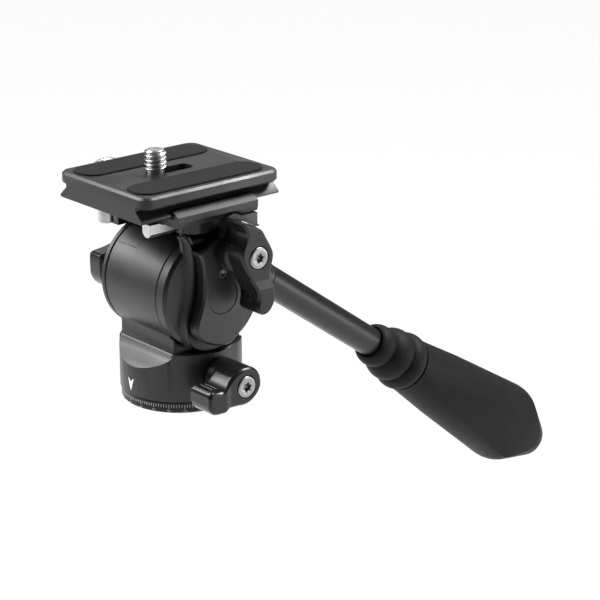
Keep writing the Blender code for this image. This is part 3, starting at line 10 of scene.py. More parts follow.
import bmesh
import bpy
import numpy as np
from mathutils import Matrix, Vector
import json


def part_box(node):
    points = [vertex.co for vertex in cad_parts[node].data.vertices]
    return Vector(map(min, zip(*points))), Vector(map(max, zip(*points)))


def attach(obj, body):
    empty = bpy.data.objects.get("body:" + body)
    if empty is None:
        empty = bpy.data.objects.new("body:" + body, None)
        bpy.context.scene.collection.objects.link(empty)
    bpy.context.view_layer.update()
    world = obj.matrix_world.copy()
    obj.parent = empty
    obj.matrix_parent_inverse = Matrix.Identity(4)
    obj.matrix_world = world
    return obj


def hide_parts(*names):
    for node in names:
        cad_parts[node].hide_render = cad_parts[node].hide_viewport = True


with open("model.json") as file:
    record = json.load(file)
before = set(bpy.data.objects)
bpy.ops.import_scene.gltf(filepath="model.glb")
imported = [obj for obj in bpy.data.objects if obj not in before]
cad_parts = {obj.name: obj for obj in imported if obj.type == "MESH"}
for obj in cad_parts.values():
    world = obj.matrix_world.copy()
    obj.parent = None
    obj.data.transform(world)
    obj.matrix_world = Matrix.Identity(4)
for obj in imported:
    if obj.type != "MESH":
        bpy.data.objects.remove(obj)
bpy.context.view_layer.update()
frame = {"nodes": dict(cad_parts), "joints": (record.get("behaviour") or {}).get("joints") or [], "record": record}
MM = 0.001

# %% [markdown]
# The places of the axes come from the record's joints and from the nodes' own boxes, so nothing has to
# be fitted by eye. A joint's pos_m is a point on its axis, and a box gives the faces that a piece meets.
# The record also says which body carries a node, and which material slot the node takes.

# %% Axes, faces and bodies read from the frame
JOINTS = {joint["name"]: joint for joint in frame["joints"]}
BODY_OF = {node: body for body, nodes in frame["record"]["behaviour"]["bodies"].items() for node in nodes}
SLOT_OF = {part["node"]: part["material_slot"] for part in frame["record"]["subparts"]}


def joint_point(name):
    """The point on a joint's axis, as an array."""
    return np.array(JOINTS[name]["pos_m"], float)


def low_high(node):
    """A node's two corners as arrays."""
    low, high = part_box(node)
    return np.array(low, float), np.array(high, float)


TILT = joint_point("tilt")
TILT_KNOB = joint_point("tilt_lock")
PAN_KNOB = joint_point("pan_lock")
SCREW = joint_point("camera_screw_turn")
RING_RADIUS = low_high("scale_ring")[1][0]
CUP_RADIUS = low_high("pan_housing")[1][0]
BARREL_RADIUS = low_high("pan_housing")[1][2] - TILT[2]
print("tilt axis", TILT, "tilt knob", TILT_KNOB, "pan knob", PAN_KNOB)
print("radii of ring, cup and barrel", RING_RADIUS.round(5), CUP_RADIUS.round(5), BARREL_RADIUS.round(5))

# %% [markdown]
# The finishes. A shader that takes a colour from a Value node loses it on the way to another program, so
# every plain number here sits on the shader's own socket. Only what varies over the surface comes from
# nodes: a mottle of the colour, a fine bump for the grain and a slow change of roughness from handling.

# %% How a finish is made
NOISE_SPAN = (0.3, 0.7)
MOTTLE_SPAN = (0.35, 0.65)


def new_finish(name, colour, roughness, metallic, **sockets):
    """A Principled material whose plain values sit on the shader's own sockets."""
    material = bpy.data.materials.new(name)
    material.use_nodes = True
    shader = material.node_tree.nodes["Principled BSDF"]
    shader.inputs["Base Color"].default_value = (*colour, 1.0)
    shader.inputs["Roughness"].default_value = roughness
    shader.inputs["Metallic"].default_value = metallic
    for socket, value in sockets.items():
        shader.inputs[socket.replace("_", " ")].default_value = value
    return material


def noise_on(material, scale, detail):
    """A noise texture that reads the object's own coordinates."""
    nodes = material.node_tree.nodes
    place = nodes.new("ShaderNodeTexCoord")
    noise = nodes.new("ShaderNodeTexNoise")
    noise.inputs["Scale"].default_value = scale
    noise.inputs["Detail"].default_value = detail
    material.node_tree.links.new(place.outputs["Object"], noise.inputs["Vector"])
    return noise


def add_grain(material, scale, strength, distance):
    """A fine bump: the noise's height drives the normal."""
    tree = material.node_tree
    noise = noise_on(material, scale, detail=2.0)
    bump = tree.nodes.new("ShaderNodeBump")
    bump.inputs["Strength"].default_value = strength
    bump.inputs["Distance"].default_value = distance
    tree.links.new(noise.outputs["Fac"], bump.inputs["Height"])
    tree.links.new(bump.outputs["Normal"], tree.nodes["Principled BSDF"].inputs["Normal"])


def vary_roughness(material, scale, low, high):
    """Roughness between two values, changed slowly by a broad noise."""
    tree = material.node_tree
    noise = noise_on(material, scale, detail=4.0)
    spread = tree.nodes.new("ShaderNodeMapRange")
    spread.inputs["From Min"].default_value = NOISE_SPAN[0]
    spread.inputs["From Max"].default_value = NOISE_SPAN[1]
    spread.inputs["To Min"].default_value = low
    spread.inputs["To Max"].default_value = high
    tree.links.new(noise.outputs["Fac"], spread.inputs["Value"])
    tree.links.new(spread.outputs["Result"], tree.nodes["Principled BSDF"].inputs["Roughness"])


def vary_colour(material, scale, dark, light):
    """A slight mottle between two near tints."""
    tree = material.node_tree
    noise = noise_on(material, scale, detail=3.0)
    ramp = tree.nodes.new("ShaderNodeValToRGB")
    for end, place, tint in zip(ramp.color_ramp.elements, MOTTLE_SPAN, (dark, light)):
        end.position = place
        end.color = (*tint, 1.0)
    tree.links.new(noise.outputs["Fac"], ramp.inputs["Fac"])
    tree.links.new(ramp.outputs["Color"], tree.nodes["Principled BSDF"].inputs["Base Color"])


def grey(value):
    """A neutral colour."""
    return (value, value, value)


def mottled(name, colour, spread, scale, roughness, metallic, **sockets):
    """A finish whose colour wanders by spread either side of the one given."""
    material = new_finish(name, colour, roughness, metallic, **sockets)
    dark, light = ([part + side * spread for part in colour] for side in (-1, 1))
    vary_colour(material, scale, dark, light)
    return material

# %% [markdown]
# Black anodised aluminium is a thin dark dye over a blasted metal: it keeps a soft wide highlight and a
# salt-and-pepper grain of about a tenth of a millimetre. Painted steel would be glossier, and a plain
# black plastic would lose the grey sheen that the barrel shows, so the metal share stays in between.
# The handle's bar is drawn tube, smoother than the castings, and the clamp knob's knurl is bare metal.

# %% Aluminium finishes
ANODISED = mottled("anodised_black", grey(0.050), 0.006, 5200, 0.42, 0.85)
add_grain(ANODISED, 6500, 0.16, 0.03 * MM)
vary_roughness(ANODISED, 90, 0.40, 0.48)

SCALE_METAL = mottled("scale_black", grey(0.026), 0.004, 4200, 0.46, 0.85)
add_grain(SCALE_METAL, 6500, 0.12, 0.02 * MM)

BAR_METAL = mottled("bar_black", grey(0.035), 0.004, 5200, 0.36, 0.75)
add_grain(BAR_METAL, 5200, 0.10, 0.02 * MM)
vary_roughness(BAR_METAL, 70, 0.33, 0.40)

KNURL = mottled("knurled_metal", grey(0.30), 0.03, 3200, 0.34, 0.9)
add_grain(KNURL, 5200, 0.10, 0.02 * MM)
print("aluminium finishes", [m.name for m in (ANODISED, SCALE_METAL, BAR_METAL, KNURL)])

# %% [markdown]
# The soft and moulded blacks. They differ less in colour than in gloss: the knobs are a hard plastic with
# narrow highlights, the grip a dull rubber, and the plate's pads a duller one still. The seam isn't a
# material of its own but a slit that no light leaves, so it gets almost no colour and no gloss.

# %% Plastic, rubber and the open seam
PLASTIC = mottled("knob_plastic", grey(0.008), 0.001, 900, 0.27, 0.0, Specular_IOR_Level=0.33)
add_grain(PLASTIC, 2600, 0.05, 0.02 * MM)
vary_roughness(PLASTIC, 160, 0.24, 0.30)

GRIP = mottled("grip_rubber", grey(0.009), 0.001, 1500, 0.6, 0.0, Specular_IOR_Level=0.12)
add_grain(GRIP, 3800, 0.1, 0.02 * MM)
vary_roughness(GRIP, 60, 0.54, 0.64)

PAD = mottled("pad_rubber", grey(0.011), 0.001, 2500, 0.85, 0.0, Specular_IOR_Level=0.15)
add_grain(PAD, 5000, 0.2, 0.03 * MM)

SEAM = mottled("open_seam", grey(0.004), 0.001, 900, 0.9, 0.0, Specular_IOR_Level=0.05)
print("dull blacks", [m.name for m in (PLASTIC, GRIP, PAD, SEAM)])

# %% [markdown]
# The steels run from bright nickel on the camera screw and the catch, through duller cap screws, to a
# blackened slider. A metal's colour is its mirror's strength, so a duller plating is simply a darker one.
# The bearing rings are an ivory acetal, and the marks are paint rubbed into engraved lines.

# %% Steel, acetal and paint
STEEL = mottled("bright_steel", grey(0.54), 0.04, 700, 0.36, 1.0)
vary_roughness(STEEL, 500, 0.3, 0.38)

CAP_STEEL = mottled("cap_steel", grey(0.27), 0.02, 700, 0.36, 1.0)
vary_roughness(CAP_STEEL, 500, 0.32, 0.40)

COVER_STEEL = mottled("cover_steel", grey(0.30), 0.03, 900, 0.4, 0.9)

INNER = mottled("inner_steel", grey(0.20), 0.03, 900, 0.42, 1.0)
vary_roughness(INNER, 400, 0.36, 0.48)

DARK_STEEL = mottled("blackened_steel", grey(0.02), 0.003, 900, 0.5, 0.6)
ACETAL = mottled("bearing_acetal", (0.55, 0.53, 0.47), 0.03, 600, 0.5, 0.0)
PAINT = new_finish("white_fill", grey(0.80), 0.55, 0.0)
vary_colour(PAINT, 3000, grey(0.74), grey(0.84))
MARK = mottled("grey_fill", grey(0.34), 0.04, 3000, 0.6, 0.0)
print("finishes", len(bpy.data.materials))

# %% [markdown]
# A finished surface has to be told where it belongs. It rides on a body, so that it moves with the joint,
# and it may stand for a node of the solid model, which is then hidden but still collides.

# %% Pieces and what they stand for
def place_piece(name, mesh, finish, body, nodes=()):
    """Link a mesh as a piece that rides on a body and stands for the nodes given."""
    piece = bpy.data.objects.new(name, mesh)
    bpy.context.scene.collection.objects.link(piece)
    mesh.materials.append(finish)
    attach(piece, body)
    if nodes:
        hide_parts(*nodes)
    return piece


def stand_in(name, mesh, finish, node):
    """A piece in place of one node, on that node's body."""
    return place_piece(name, mesh, finish, BODY_OF[node], [node])

# %% [markdown]
# Two kinds of surface cover most of this head: rings of points around an axis, closed by a cap at each
# end, and a tube's wall whose last ring meets its first. Faces are worked out as one array of index
# quads, so a mesh is filled in one call whatever its size.

# %% Grids into meshes
WELD = 0.0001 * MM
SOFT_BELOW = math.radians(38)


def fill_mesh(name, points, quads, caps=()):
    """A mesh from an array of points, an array of quads and a few many-sided caps."""
    mesh = bpy.data.meshes.new(name)
    faces = [tuple(face) for face in np.asarray(quads).tolist()] + [tuple(cap) for cap in caps]
    mesh.from_pydata(np.asarray(points).tolist(), [], faces)
    work = bmesh.new()
    work.from_mesh(mesh)
    bmesh.ops.remove_doubles(work, verts=work.verts, dist=WELD)
    bmesh.ops.recalc_face_normals(work, faces=work.faces)
    work.to_mesh(mesh)
    work.free()
    mesh.shade_smooth()
    mesh.set_sharp_from_angle(angle=SOFT_BELOW)
    return mesh


def grid_quads(rows, columns):
    """Index quads of a grid whose columns close into a ring."""
    row = np.arange(rows - 1)[:, None] * columns
    column = np.arange(columns)[None, :]
    after = (column + 1) % columns
    corners = [row + column, row + after, row + columns + after, row + columns + column]
    return np.stack(corners, -1).reshape(-1, 4)


def rings_mesh(name, rings):
    """A closed skin through rings of points, array (rings, points, 3), with a flat cap at each end."""
    rows, columns = rings.shape[:2]
    caps = [range(columns - 1, -1, -1), range((rows - 1) * columns, rows * columns)]
    return fill_mesh(name, rings.reshape(-1, 3), grid_quads(rows, columns), caps)


def shell_mesh(name, rings):
    """A skin through rings whose last ring meets the first again, as a tube's wall does."""
    rows, columns = rings.shape[:2]
    closed = np.concatenate([rings, rings[:1]])
    return fill_mesh(name, closed.reshape(-1, 3), grid_quads(rows + 1, columns))


def axes_at(origin, along, across):
    """A frame at a point, as a function on points: its Z runs along one direction, its X near another."""
    z = np.array(along, float) / np.linalg.norm(along)
    x = np.array(across, float) - np.dot(across, z) * z
    x = x / np.linalg.norm(x)
    turn = np.stack([x, np.cross(z, x), z])
    return lambda points: np.asarray(points) @ turn + np.array(origin, float)


def around(sides):
    """Angles of a ring's points."""
    return np.linspace(0, 2 * np.pi, sides, endpoint=False)


def turned_rings(radius, height, sides):
    """Rings of a turned shape: radius and height run down the profile, and the angle runs round it."""
    angle = around(sides)[None, :]
    radius = np.asarray(radius, float)
    radius = radius[:, None] if radius.ndim == 1 else radius
    shape = np.broadcast_shapes(radius.shape, angle.shape)
    height = np.broadcast_to(np.asarray(height, float)[:, None], shape)
    radius = np.broadcast_to(radius, shape)
    return np.stack([radius * np.cos(angle), radius * np.sin(angle), height], -1)

# %% [markdown]
# A thread's flank and a moulded dip both go from nothing to full without a kink. One cubic does that for
# every such step, so it is written once.

# %% Steps without a kink
def smooth_step(value):
    """0 below 0, 1 above 1, three value squared less two value cubed between."""
    value = np.clip(value, 0, 1)
    return value * value * (3 - 2 * value)


def rising(value, none, full):
    """The smooth step that is 0 where value is at none and 1 where it is at full."""
    return smooth_step((value - none) / (full - none))

# %% [markdown]
# A machined part's outline is already right in the solid model, but its edges are mathematically sharp,
# and real edges catch the light. The node's triangles are copied, merged into faces and given a small
# bevel. Working on the copy leaves the frame's own mesh alone.

# %% Broken edges on the solid's own faces
SOLID_WELD = 0.002 * MM
ONE_FACE_BELOW = math.radians(0.8)
BREAK_ABOVE = math.radians(32)


def dress(node, finish, edge, segments=2):
    """A merged copy of a node's mesh with its sharp edges broken by a bevel, in place of the node."""
    mesh = frame["nodes"][node].data.copy()
    mesh.materials.clear()
    work = bmesh.new()
    work.from_mesh(mesh)
    bmesh.ops.remove_doubles(work, verts=work.verts, dist=SOLID_WELD)
    bmesh.ops.dissolve_limit(work, angle_limit=ONE_FACE_BELOW, verts=work.verts, edges=work.edges)
    work.to_mesh(mesh)
    work.free()
    mesh.shade_smooth()
    mesh.set_sharp_from_angle(angle=BREAK_ABOVE)
    piece = stand_in(f"{node}_dressed", mesh, finish, node)
    if edge:
        bevel = piece.modifiers.new("Broken edges", "BEVEL")
        bevel.width = edge
        bevel.segments = segments
        bevel.limit_method = "ANGLE"
        bevel.angle_limit = BREAK_ABOVE
        bevel.miter_outer = "MITER_ARC"
    return piece


METAL_EDGES = {
    "pan_housing": 0.18, "left_yoke_cheek": 0.18, "right_yoke_arm": 0.2, "arm_cover": 0.2,
    "clamp_platform": 0.22, "moving_jaw": 0.22, "quick_release_plate": 0.2, "axle_cap": 0.08,
}
for node, edge in METAL_EDGES.items():
    dress(node, ANODISED, edge * MM)
for node in ("plate_pad_left", "plate_pad_right"):
    dress(node, PAD, 0.3 * MM, segments=3)
dress("safety_catch", STEEL, 0.12 * MM)
dress("scale_ring", SCALE_METAL, 0.15 * MM)
dress("tilt_drag_knob", PLASTIC, 0.4 * MM, segments=3)
dress("handle_bar", BAR_METAL, 0.1 * MM)
dress("handle_grip", GRIP, 0.15 * MM, segments=3)
dress("plate_stop_screw", STEEL, 0.25 * MM)
print("dressed", len(METAL_EDGES), "metal nodes and 8 others")

# %% [markdown]
# The rest are bearings, brakes and shafts inside the head. They keep their solids and only need a
# finish, which goes into each node's own material slot, so they look right when the head is taken apart.

# %% Finishes of the inner nodes
def inner_finish(node):
    """Acetal for bearings, blackened steel for the slider under the plate, plain steel for the rest."""
    if SLOT_OF[node] == "bearing_plastic":
        return ACETAL
    return DARK_STEEL if node == "screw_slider" else INNER


for node in BODY_OF:
    solid = frame["nodes"][node].data
    solid.materials.clear()
    solid.materials.append(inner_finish(node))
print("nodes with a finish of their own", len(BODY_OF))

# %% [markdown]
# The camera screw is a quarter-inch screw of twenty turns to the inch. A thread can be a screw modifier
# on a profile, but one grid does it in a single formula: the radius at a point depends on its height
# minus its share of a turn, so the crest climbs one pitch a turn. It fades out at both ends.

# %% The camera screw with its thread
PITCH = 25.4 / 20 * MM
CREST_RADIUS = 25.4 / 8 * MM
ROOT_RADIUS = 2.5 * MM
HEAD_HEIGHT = 2.2 * MM
HEAD_EDGE = 0.4 * MM
HEAD_LIP = 0.3 * MM
BARE_NECK = 0.9 * MM
BARE_TIP = 0.35 * MM
PAST_END = 0.2 * MM
RUN_IN = 0.4 * PITCH
RUN_OUT = 0.25 * PITCH
FLANK_SLOPE = 2.6
ROOT_FLAT = 0.25
THREAD_ROWS = 170
THREAD_SIDES = 96


def thread_radius(height, angle, low, high):
    """The root's radius plus a rounded ridge that fades in and out.

    The ridge depends on how far the phase is from one half, and the phase is height over pitch less
    angle over a turn.
    """
    phase = (height / PITCH - angle / (2 * np.pi)) % 1.0
    ridge = smooth_step(np.abs(phase - 0.5) * FLANK_SLOPE - ROOT_FLAT)
    fade = np.clip((height - low) / RUN_IN, 0, 1) * np.clip((high - height) / RUN_OUT, 0, 1)
    return ROOT_RADIUS + (CREST_RADIUS - ROOT_RADIUS) * ridge * fade


def screw_piece():
    """Head, neck, thread and tip as one run of rings about the screw's axis."""
    low, high = low_high("camera_screw")
    foot, tip = low[2], high[2]
    head = (high[0] - low[0]) / 2
    thread_low = low_high("quick_release_plate")[1][2] + BARE_NECK
    thread_high = tip - BARE_TIP
    under = np.array([
        (1.5 * MM, foot), (head - HEAD_EDGE, foot), (head, foot + HEAD_EDGE),
        (head, foot + HEAD_HEIGHT - HEAD_LIP), (head - HEAD_LIP, foot + HEAD_HEIGHT),
        (ROOT_RADIUS + HEAD_LIP, foot + HEAD_HEIGHT), (ROOT_RADIUS, foot + HEAD_HEIGHT + HEAD_LIP),
        (ROOT_RADIUS, thread_low - HEAD_LIP),
    ])
    over = np.array([(2.55 * MM, tip - 0.12 * MM), (2.4 * MM, tip)])
    height = np.linspace(thread_low, thread_high, THREAD_ROWS)
    angle = around(THREAD_SIDES)
    spiral = thread_radius(height[:, None], angle[None, :], thread_low, thread_high + PAST_END)
    plain_under, plain_over = (np.repeat(part[:, :1], THREAD_SIDES, 1) for part in (under, over))
    radius = np.concatenate([plain_under, spiral, plain_over])
    rings = turned_rings(radius, np.concatenate([under[:, 1], height, over[:, 1]]), THREAD_SIDES)
    rings = rings + np.array([SCREW[0], SCREW[1], 0.0])
    name = "camera_screw_threaded"
    return stand_in(name, rings_mesh(name, rings), STEEL, "camera_screw")


print("camera screw", len(screw_piece().data.polygons), "faces")

# %% [markdown]
# Both wing knobs are held by a silver screw with a six-lobe socket. Its outline is a circle whose radius
# swells six times a turn, so the same polar grid carries the round rim, the flat face, the lobed wall
# and the socket's floor, with no cutting.

# %% Screws with a six-lobe socket
CAP_SIDES = 120
CAP_DEPTH = 1.7 * MM
CAP_EDGE = 0.25 * MM
SOCKET_SHARE = 0.40
LOBES = 6
LOBE_HEIGHT = 0.17
LOBE_BLUNTNESS = 0.04


def lobed(radius, angle):
    """radius times the sum of one and a cosine that beats once a lobe, less a little of its square."""
    beat = np.cos(LOBES * angle)
    return radius * (1 + LOBE_HEIGHT * beat - LOBE_BLUNTNESS * beat * beat)


def socket_screw(node, centre):
    """Rings from the shank's end out to the rim, over the face and down into the socket."""
    low, high = low_high(node)
    rim = (high[1] - low[1]) / 2
    top = high[0]
    under = top - CAP_DEPTH
    wall = lobed(SOCKET_SHARE * rim, around(CAP_SIDES))
    shank = [(1.2 * MM, low[0]), (1.55 * MM, low[0] + 0.3 * MM), (1.6 * MM, under)]
    head = [
        (rim - CAP_EDGE, under), (rim, under + CAP_EDGE), (rim, top - 0.38 * MM),
        (rim - 0.05 * MM, top - 0.2 * MM), (rim - 0.16 * MM, top - 0.08 * MM), (rim - 0.34 * MM, top),
        (0.75 * rim, top),
    ]
    socket = [
        (wall + 0.14 * MM, top), (wall + 0.03 * MM, top - 0.06 * MM), (wall, top - 0.18 * MM),
        (wall * 0.94, top - 1.1 * MM), (wall * 0.55, top - 1.22 * MM), (wall * 0.12, top - 1.3 * MM),
    ]
    rows = shank + head + socket
    radius = np.array([np.broadcast_to(row[0], CAP_SIDES) for row in rows])
    rings = turned_rings(radius, [row[1] for row in rows], CAP_SIDES)
    onto = axes_at((0.0, centre[1], centre[2]), (1, 0, 0), (0, 0.35, 1))
    return stand_in(f"{node}_lobed", rings_mesh(f"{node}_lobed", onto(rings)), CAP_STEEL, node)


for node, centre in (("tilt_lock_cap_screw", TILT_KNOB), ("pan_lock_cap_screw", PAN_KNOB)):
    socket_screw(node, centre)
print("socket screws at", TILT_KNOB.round(4), PAN_KNOB.round(4))

# %% [markdown]
# A small screw keeps the cover on the arm. It is the plainest kind of turned piece: one profile, from
# the shank's end over a low rounded head and down into a round recess, spun about its axis.

# %% The cover's screw
COVER_SCREW_SIDES = 72


def cover_screw(node):
    """A low pan head on the cover: shank, underside, rounded rim, then a recess with a cone's floor."""
    low, high = low_high(node)
    end, top = low[0], high[0]
    profile = np.array([
        (0.9 * MM, end), (1.1 * MM, end + 0.2 * MM), (1.1 * MM, top - 0.32 * MM),
        (1.62 * MM, top - 0.32 * MM), (1.70 * MM, top - 0.24 * MM), (1.66 * MM, top - 0.10 * MM),
        (1.52 * MM, top), (1.30 * MM, top + 0.03 * MM), (0.98 * MM, top), (0.88 * MM, top - 0.12 * MM),
        (0.82 * MM, top - 0.7 * MM), (0.1 * MM, top - 0.95 * MM),
    ])
    rings = turned_rings(profile[:, 0], profile[:, 1], COVER_SCREW_SIDES)
    onto = axes_at((0.0, (low[1] + high[1]) / 2, (low[2] + high[2]) / 2), (1, 0, 0), (0, 0, 1))
    return stand_in(f"{node}_head", rings_mesh(f"{node}_head", onto(rings)), COVER_STEEL, node)


print("cover screw", len(cover_screw("arm_cover_screw").data.polygons), "faces")

# %% [markdown]
# The wing knobs are moulded: hub, wing and tips melt into one skin, and the face dips where the screw
# sits. Rounding each edge by itself would leave seams where hub and wing almost meet, so a fine skin is
# drawn over the whole knob and relaxed until its edges are soft, then the face is sunk between the tips.

# %% Moulded wing knobs
WING_SKIN = 0.2 * MM
WING_RELAX = 14
SWELL = 0.12 * MM
DIP_DEPTH = 0.55 * MM
DIP_NONE_BELOW = 3.0 * MM
DIP_FULL_ABOVE = 0.6 * MM


def relaxed_skin(piece):
    """The piece's voxel skin after smoothing, as a mesh of its own."""
    skin = piece.modifiers.new("Skin", "REMESH")
    skin.mode = "VOXEL"
    skin.voxel_size = WING_SKIN
    skin.use_smooth_shade = True
    relax = piece.modifiers.new("Relaxed", "SMOOTH")
    relax.factor = 0.5
    relax.iterations = WING_RELAX
    mesh = bpy.data.meshes.new_from_object(piece.evaluated_get(bpy.context.evaluated_depsgraph_get()))
    piece.modifiers.clear()
    return mesh


def moulded_knob(node, dip):
    """The knob's skin, swollen by what relaxing took.

    Its face sinks by the dip's depth times dip(y, z), and what lies deeper than the face sinks less.
    """
    piece = dress(node, PLASTIC, 0)
    mesh = relaxed_skin(piece)
    piece.data = mesh
    points = np.empty(len(mesh.vertices) * 3)
    outward = np.empty(len(mesh.vertices) * 3)
    mesh.vertices.foreach_get("co", points)
    mesh.vertex_normals.foreach_get("vector", outward)
    points = np.clip(points.reshape(-1, 3) + SWELL * outward.reshape(-1, 3), *low_high(node))
    near_face = rising(points[:, 0] - points[:, 0].max(), -DIP_NONE_BELOW, -DIP_FULL_ABOVE)
    points[:, 0] -= near_face * DIP_DEPTH * dip(points[:, 1], points[:, 2])
    mesh.vertices.foreach_set("co", points.ravel())
    mesh.shade_smooth()
    mesh.update()
    outermost = (points[:, 0].max() / MM).round(2)
    print(node, "skin of", len(mesh.polygons), "faces, outermost at", outermost, "mm")


def tilt_dip(y, z):
    """Full from 6.7 mm below the hub's height to 5 mm above it, none at either tip."""
    up = z - TILT_KNOB[2]
    return rising(up, 7.6 * MM, 5.0 * MM) * rising(up, -9.6 * MM, -6.7 * MM)


def pan_dip(y, z):
    """Full from 5.4 mm in front of the hub's centre backwards, none at the tip."""
    return rising(y - PAN_KNOB[1], -8.0 * MM, -5.4 * MM)


moulded_knob("tilt_lock_knob", tilt_dip)
moulded_knob("pan_lock_knob", pan_dip)

# %% [markdown]
# Where a finger presses, each wing carries a few raised bars. A bar is a rod whose ends shrink on half an
# ellipse, and only its upper part stands out of the wing, which is how a moulded rib looks. Each is given
# in millimetres by its start and its end, with the direction in which it stands out.

# %% Finger ribs on the wings
RIB_RADIUS = 0.42 * MM
RIB_FLAT = 0.3 * MM
RIB_SIDES = 20
RIB_END_STEPS = 6


def rib_rings(start, end, up):
    """A rod from start to end: its size follows half an ellipse over one radius at each end."""
    length = np.linalg.norm(end - start)
    ease = np.sin(np.linspace(0, np.pi / 2, RIB_END_STEPS))
    along = np.concatenate([RIB_RADIUS * (1 - ease[::-1]), length - RIB_RADIUS * (1 - ease)])
    to_end = np.minimum(along, length - along)
    swell = np.sqrt(np.maximum(1 - (1 - to_end / RIB_RADIUS) ** 2, 0.002))[:, None]
    angle = around(RIB_SIDES)
    height = np.repeat(along[:, None], RIB_SIDES, 1)
    rings = np.stack([RIB_RADIUS * swell * np.cos(angle), RIB_FLAT * swell * np.sin(angle), height], -1)
    return axes_at(start, end - start, np.cross(up, end - start))(rings)


TILT_RIB_HEIGHTS = (37.0, 36.0, 35.0, 34.05)
PAN_RIB_PLACES = ((-11.5, 11.42), (-10.05, 11.3), (-8.5, 11.15))
RIBS = {
    "tilt_lock_knob": [((24.1, 3.33, z), (29.0, 3.33, z), (0, -1, 0)) for z in TILT_RIB_HEIGHTS],
    "pan_lock_knob": [((21.9, y, z), (27.8, y, z), (0, 0, 1)) for y, z in PAN_RIB_PLACES],
}
for node, ribs in RIBS.items():
    for number, (start, end, up) in enumerate(ribs, 1):
        rings = rib_rings(np.array(start) * MM, np.array(end) * MM, up)
        name = f"{node}_rib_{number}"
        place_piece(name, rings_mesh(name, rings), PLASTIC, BODY_OF[node])
print("ribs", sum(len(ribs) for ribs in RIBS.values()))

# %% [markdown]
# The base ring's scale is engraved and filled with pale paint. Each tick is a thin block bent round the
# ring: its width becomes an angle, its depth becomes radius, and its height stays. A painted texture
# would be quicker, but blocks keep the marks sharp at any size.

# %% Ticks on the base ring
FIRST_LABEL = math.radians(-50.1)
TICK_STEP = 2.5
LABEL_STEP = 15
TICK_WIDTH = 0.2 * MM
TICK_TOP = 2.72 * MM
LONG_TICK_FOOT = 1.45 * MM
SHORT_TICK_FOOT = 1.85 * MM
MARK_DEPTH = 0.06 * MM
MARK_PROUD = 0.02 * MM
BLOCK_FACES = np.array([(0, 3, 2, 1), (4, 5, 6, 7), (0, 1, 5, 4), (1, 2, 6, 5), (2, 3, 7, 6), (3, 0, 4, 7)])


def bend_round(points, radius, angle):
    """Flat points (across, up, out) onto a cylinder: across over radius is added to the angle."""
    turn = angle + points[:, 0] / radius
    reach = radius + points[:, 2]
    return np.stack([reach * np.cos(turn), reach * np.sin(turn), points[:, 1]], -1)


def block_corners(width, low, high):
    """The eight corners of a thin upright block."""
    x = np.array([-1, 1, 1, -1, -1, 1, 1, -1]) * width / 2
    y = np.array([low, low, high, high] * 2)
    z = np.array([-MARK_DEPTH] * 4 + [MARK_PROUD] * 4)
    return np.stack([x, y, z], -1)


def blocks_mesh(name, points):
    """One mesh of blocks that come as eight corners each."""
    faces = BLOCK_FACES[None] + 8 * np.arange(len(points) // 8)[:, None, None]
    return fill_mesh(name, points, faces.reshape(-1, 4))


def scale_ticks():
    """A tick every TICK_STEP degrees, a long one at each label."""
    angles = FIRST_LABEL + np.radians(np.arange(0, 360, TICK_STEP))
    at_label = np.arange(len(angles)) % round(LABEL_STEP / TICK_STEP) == 0
    feet = np.where(at_label, LONG_TICK_FOOT, SHORT_TICK_FOOT)
    blocks = [bend_round(block_corners(TICK_WIDTH, foot, TICK_TOP), RING_RADIUS, angle)
              for angle, foot in zip(angles, feet)]
    return blocks_mesh("scale_ticks", np.concatenate(blocks))


place_piece("scale_ticks", scale_ticks(), MARK, BODY_OF["scale_ring"])
print("ticks", int(360 / TICK_STEP))

# %% [markdown]
# The numbers are plain degrees. Blender's own text gives their outlines; made into a mesh, they go
# through the same bend as the ticks, so they follow the ring's curve.

# %% Numbers on the base ring
NUMBER_HEIGHT = 0.78 * MM
NUMBER_FOOT = 0.30 * MM
NUMBER_DEPTH = 0.04 * MM
CAPITAL_SHARE = 0.7


def number_mesh(label):
    """Digits as a thin solid, centred across, standing on zero."""
    curve = bpy.data.curves.new(f"digits_{label}", "FONT")
    curve.body = label
    curve.size = NUMBER_HEIGHT / CAPITAL_SHARE
    curve.align_x = "CENTER"
    curve.extrude = NUMBER_DEPTH
    curve.resolution_u = 3
    text = bpy.data.objects.new("digits", curve)
    bpy.context.scene.collection.objects.link(text)
    bpy.context.view_layer.update()
    mesh = bpy.data.meshes.new_from_object(text.evaluated_get(bpy.context.evaluated_depsgraph_get()))
    bpy.data.objects.remove(text)
    return mesh


def scale_numbers():
    """One mesh of all labels: each is bent round the ring at its own angle."""
    work = bmesh.new()
    for step in range(0, 360, LABEL_STEP):
        mesh = number_mesh(str(step))
        flat = np.empty(len(mesh.vertices) * 3)
        mesh.vertices.foreach_get("co", flat)
        flat = flat.reshape(-1, 3)
        flat[:, 1] += NUMBER_FOOT
        bent = bend_round(flat, RING_RADIUS, FIRST_LABEL + math.radians(step - 90))
        mesh.vertices.foreach_set("co", bent.ravel())
        work.from_mesh(mesh)
        bpy.data.meshes.remove(mesh)
    bmesh.ops.remove_doubles(work, verts=work.verts, dist=WELD)
    bmesh.ops.recalc_face_normals(work, faces=work.faces)
    mesh = bpy.data.meshes.new("scale_numbers")
    work.to_mesh(mesh)
    work.free()
    return mesh


place_piece("scale_numbers", scale_numbers(), MARK, BODY_OF["scale_ring"])
print("numbers", 360 // LABEL_STEP)

# %% [markdown]
# The arrow on the turning cup reads the scale below it. Its notched outline is drawn flat in two layers,
# then bent round the cup as the ticks were round the ring.

# %% The index arrow
ARROW_ANGLE = math.radians(-92.2)
ARROW = (
    (0.0, 4.75), (-0.82, 7.1), (-1.30, 8.75), (-0.52, 8.15), (0.02, 7.55), (0.60, 8.15), (1.38, 8.75),
    (0.85, 7.1),
)


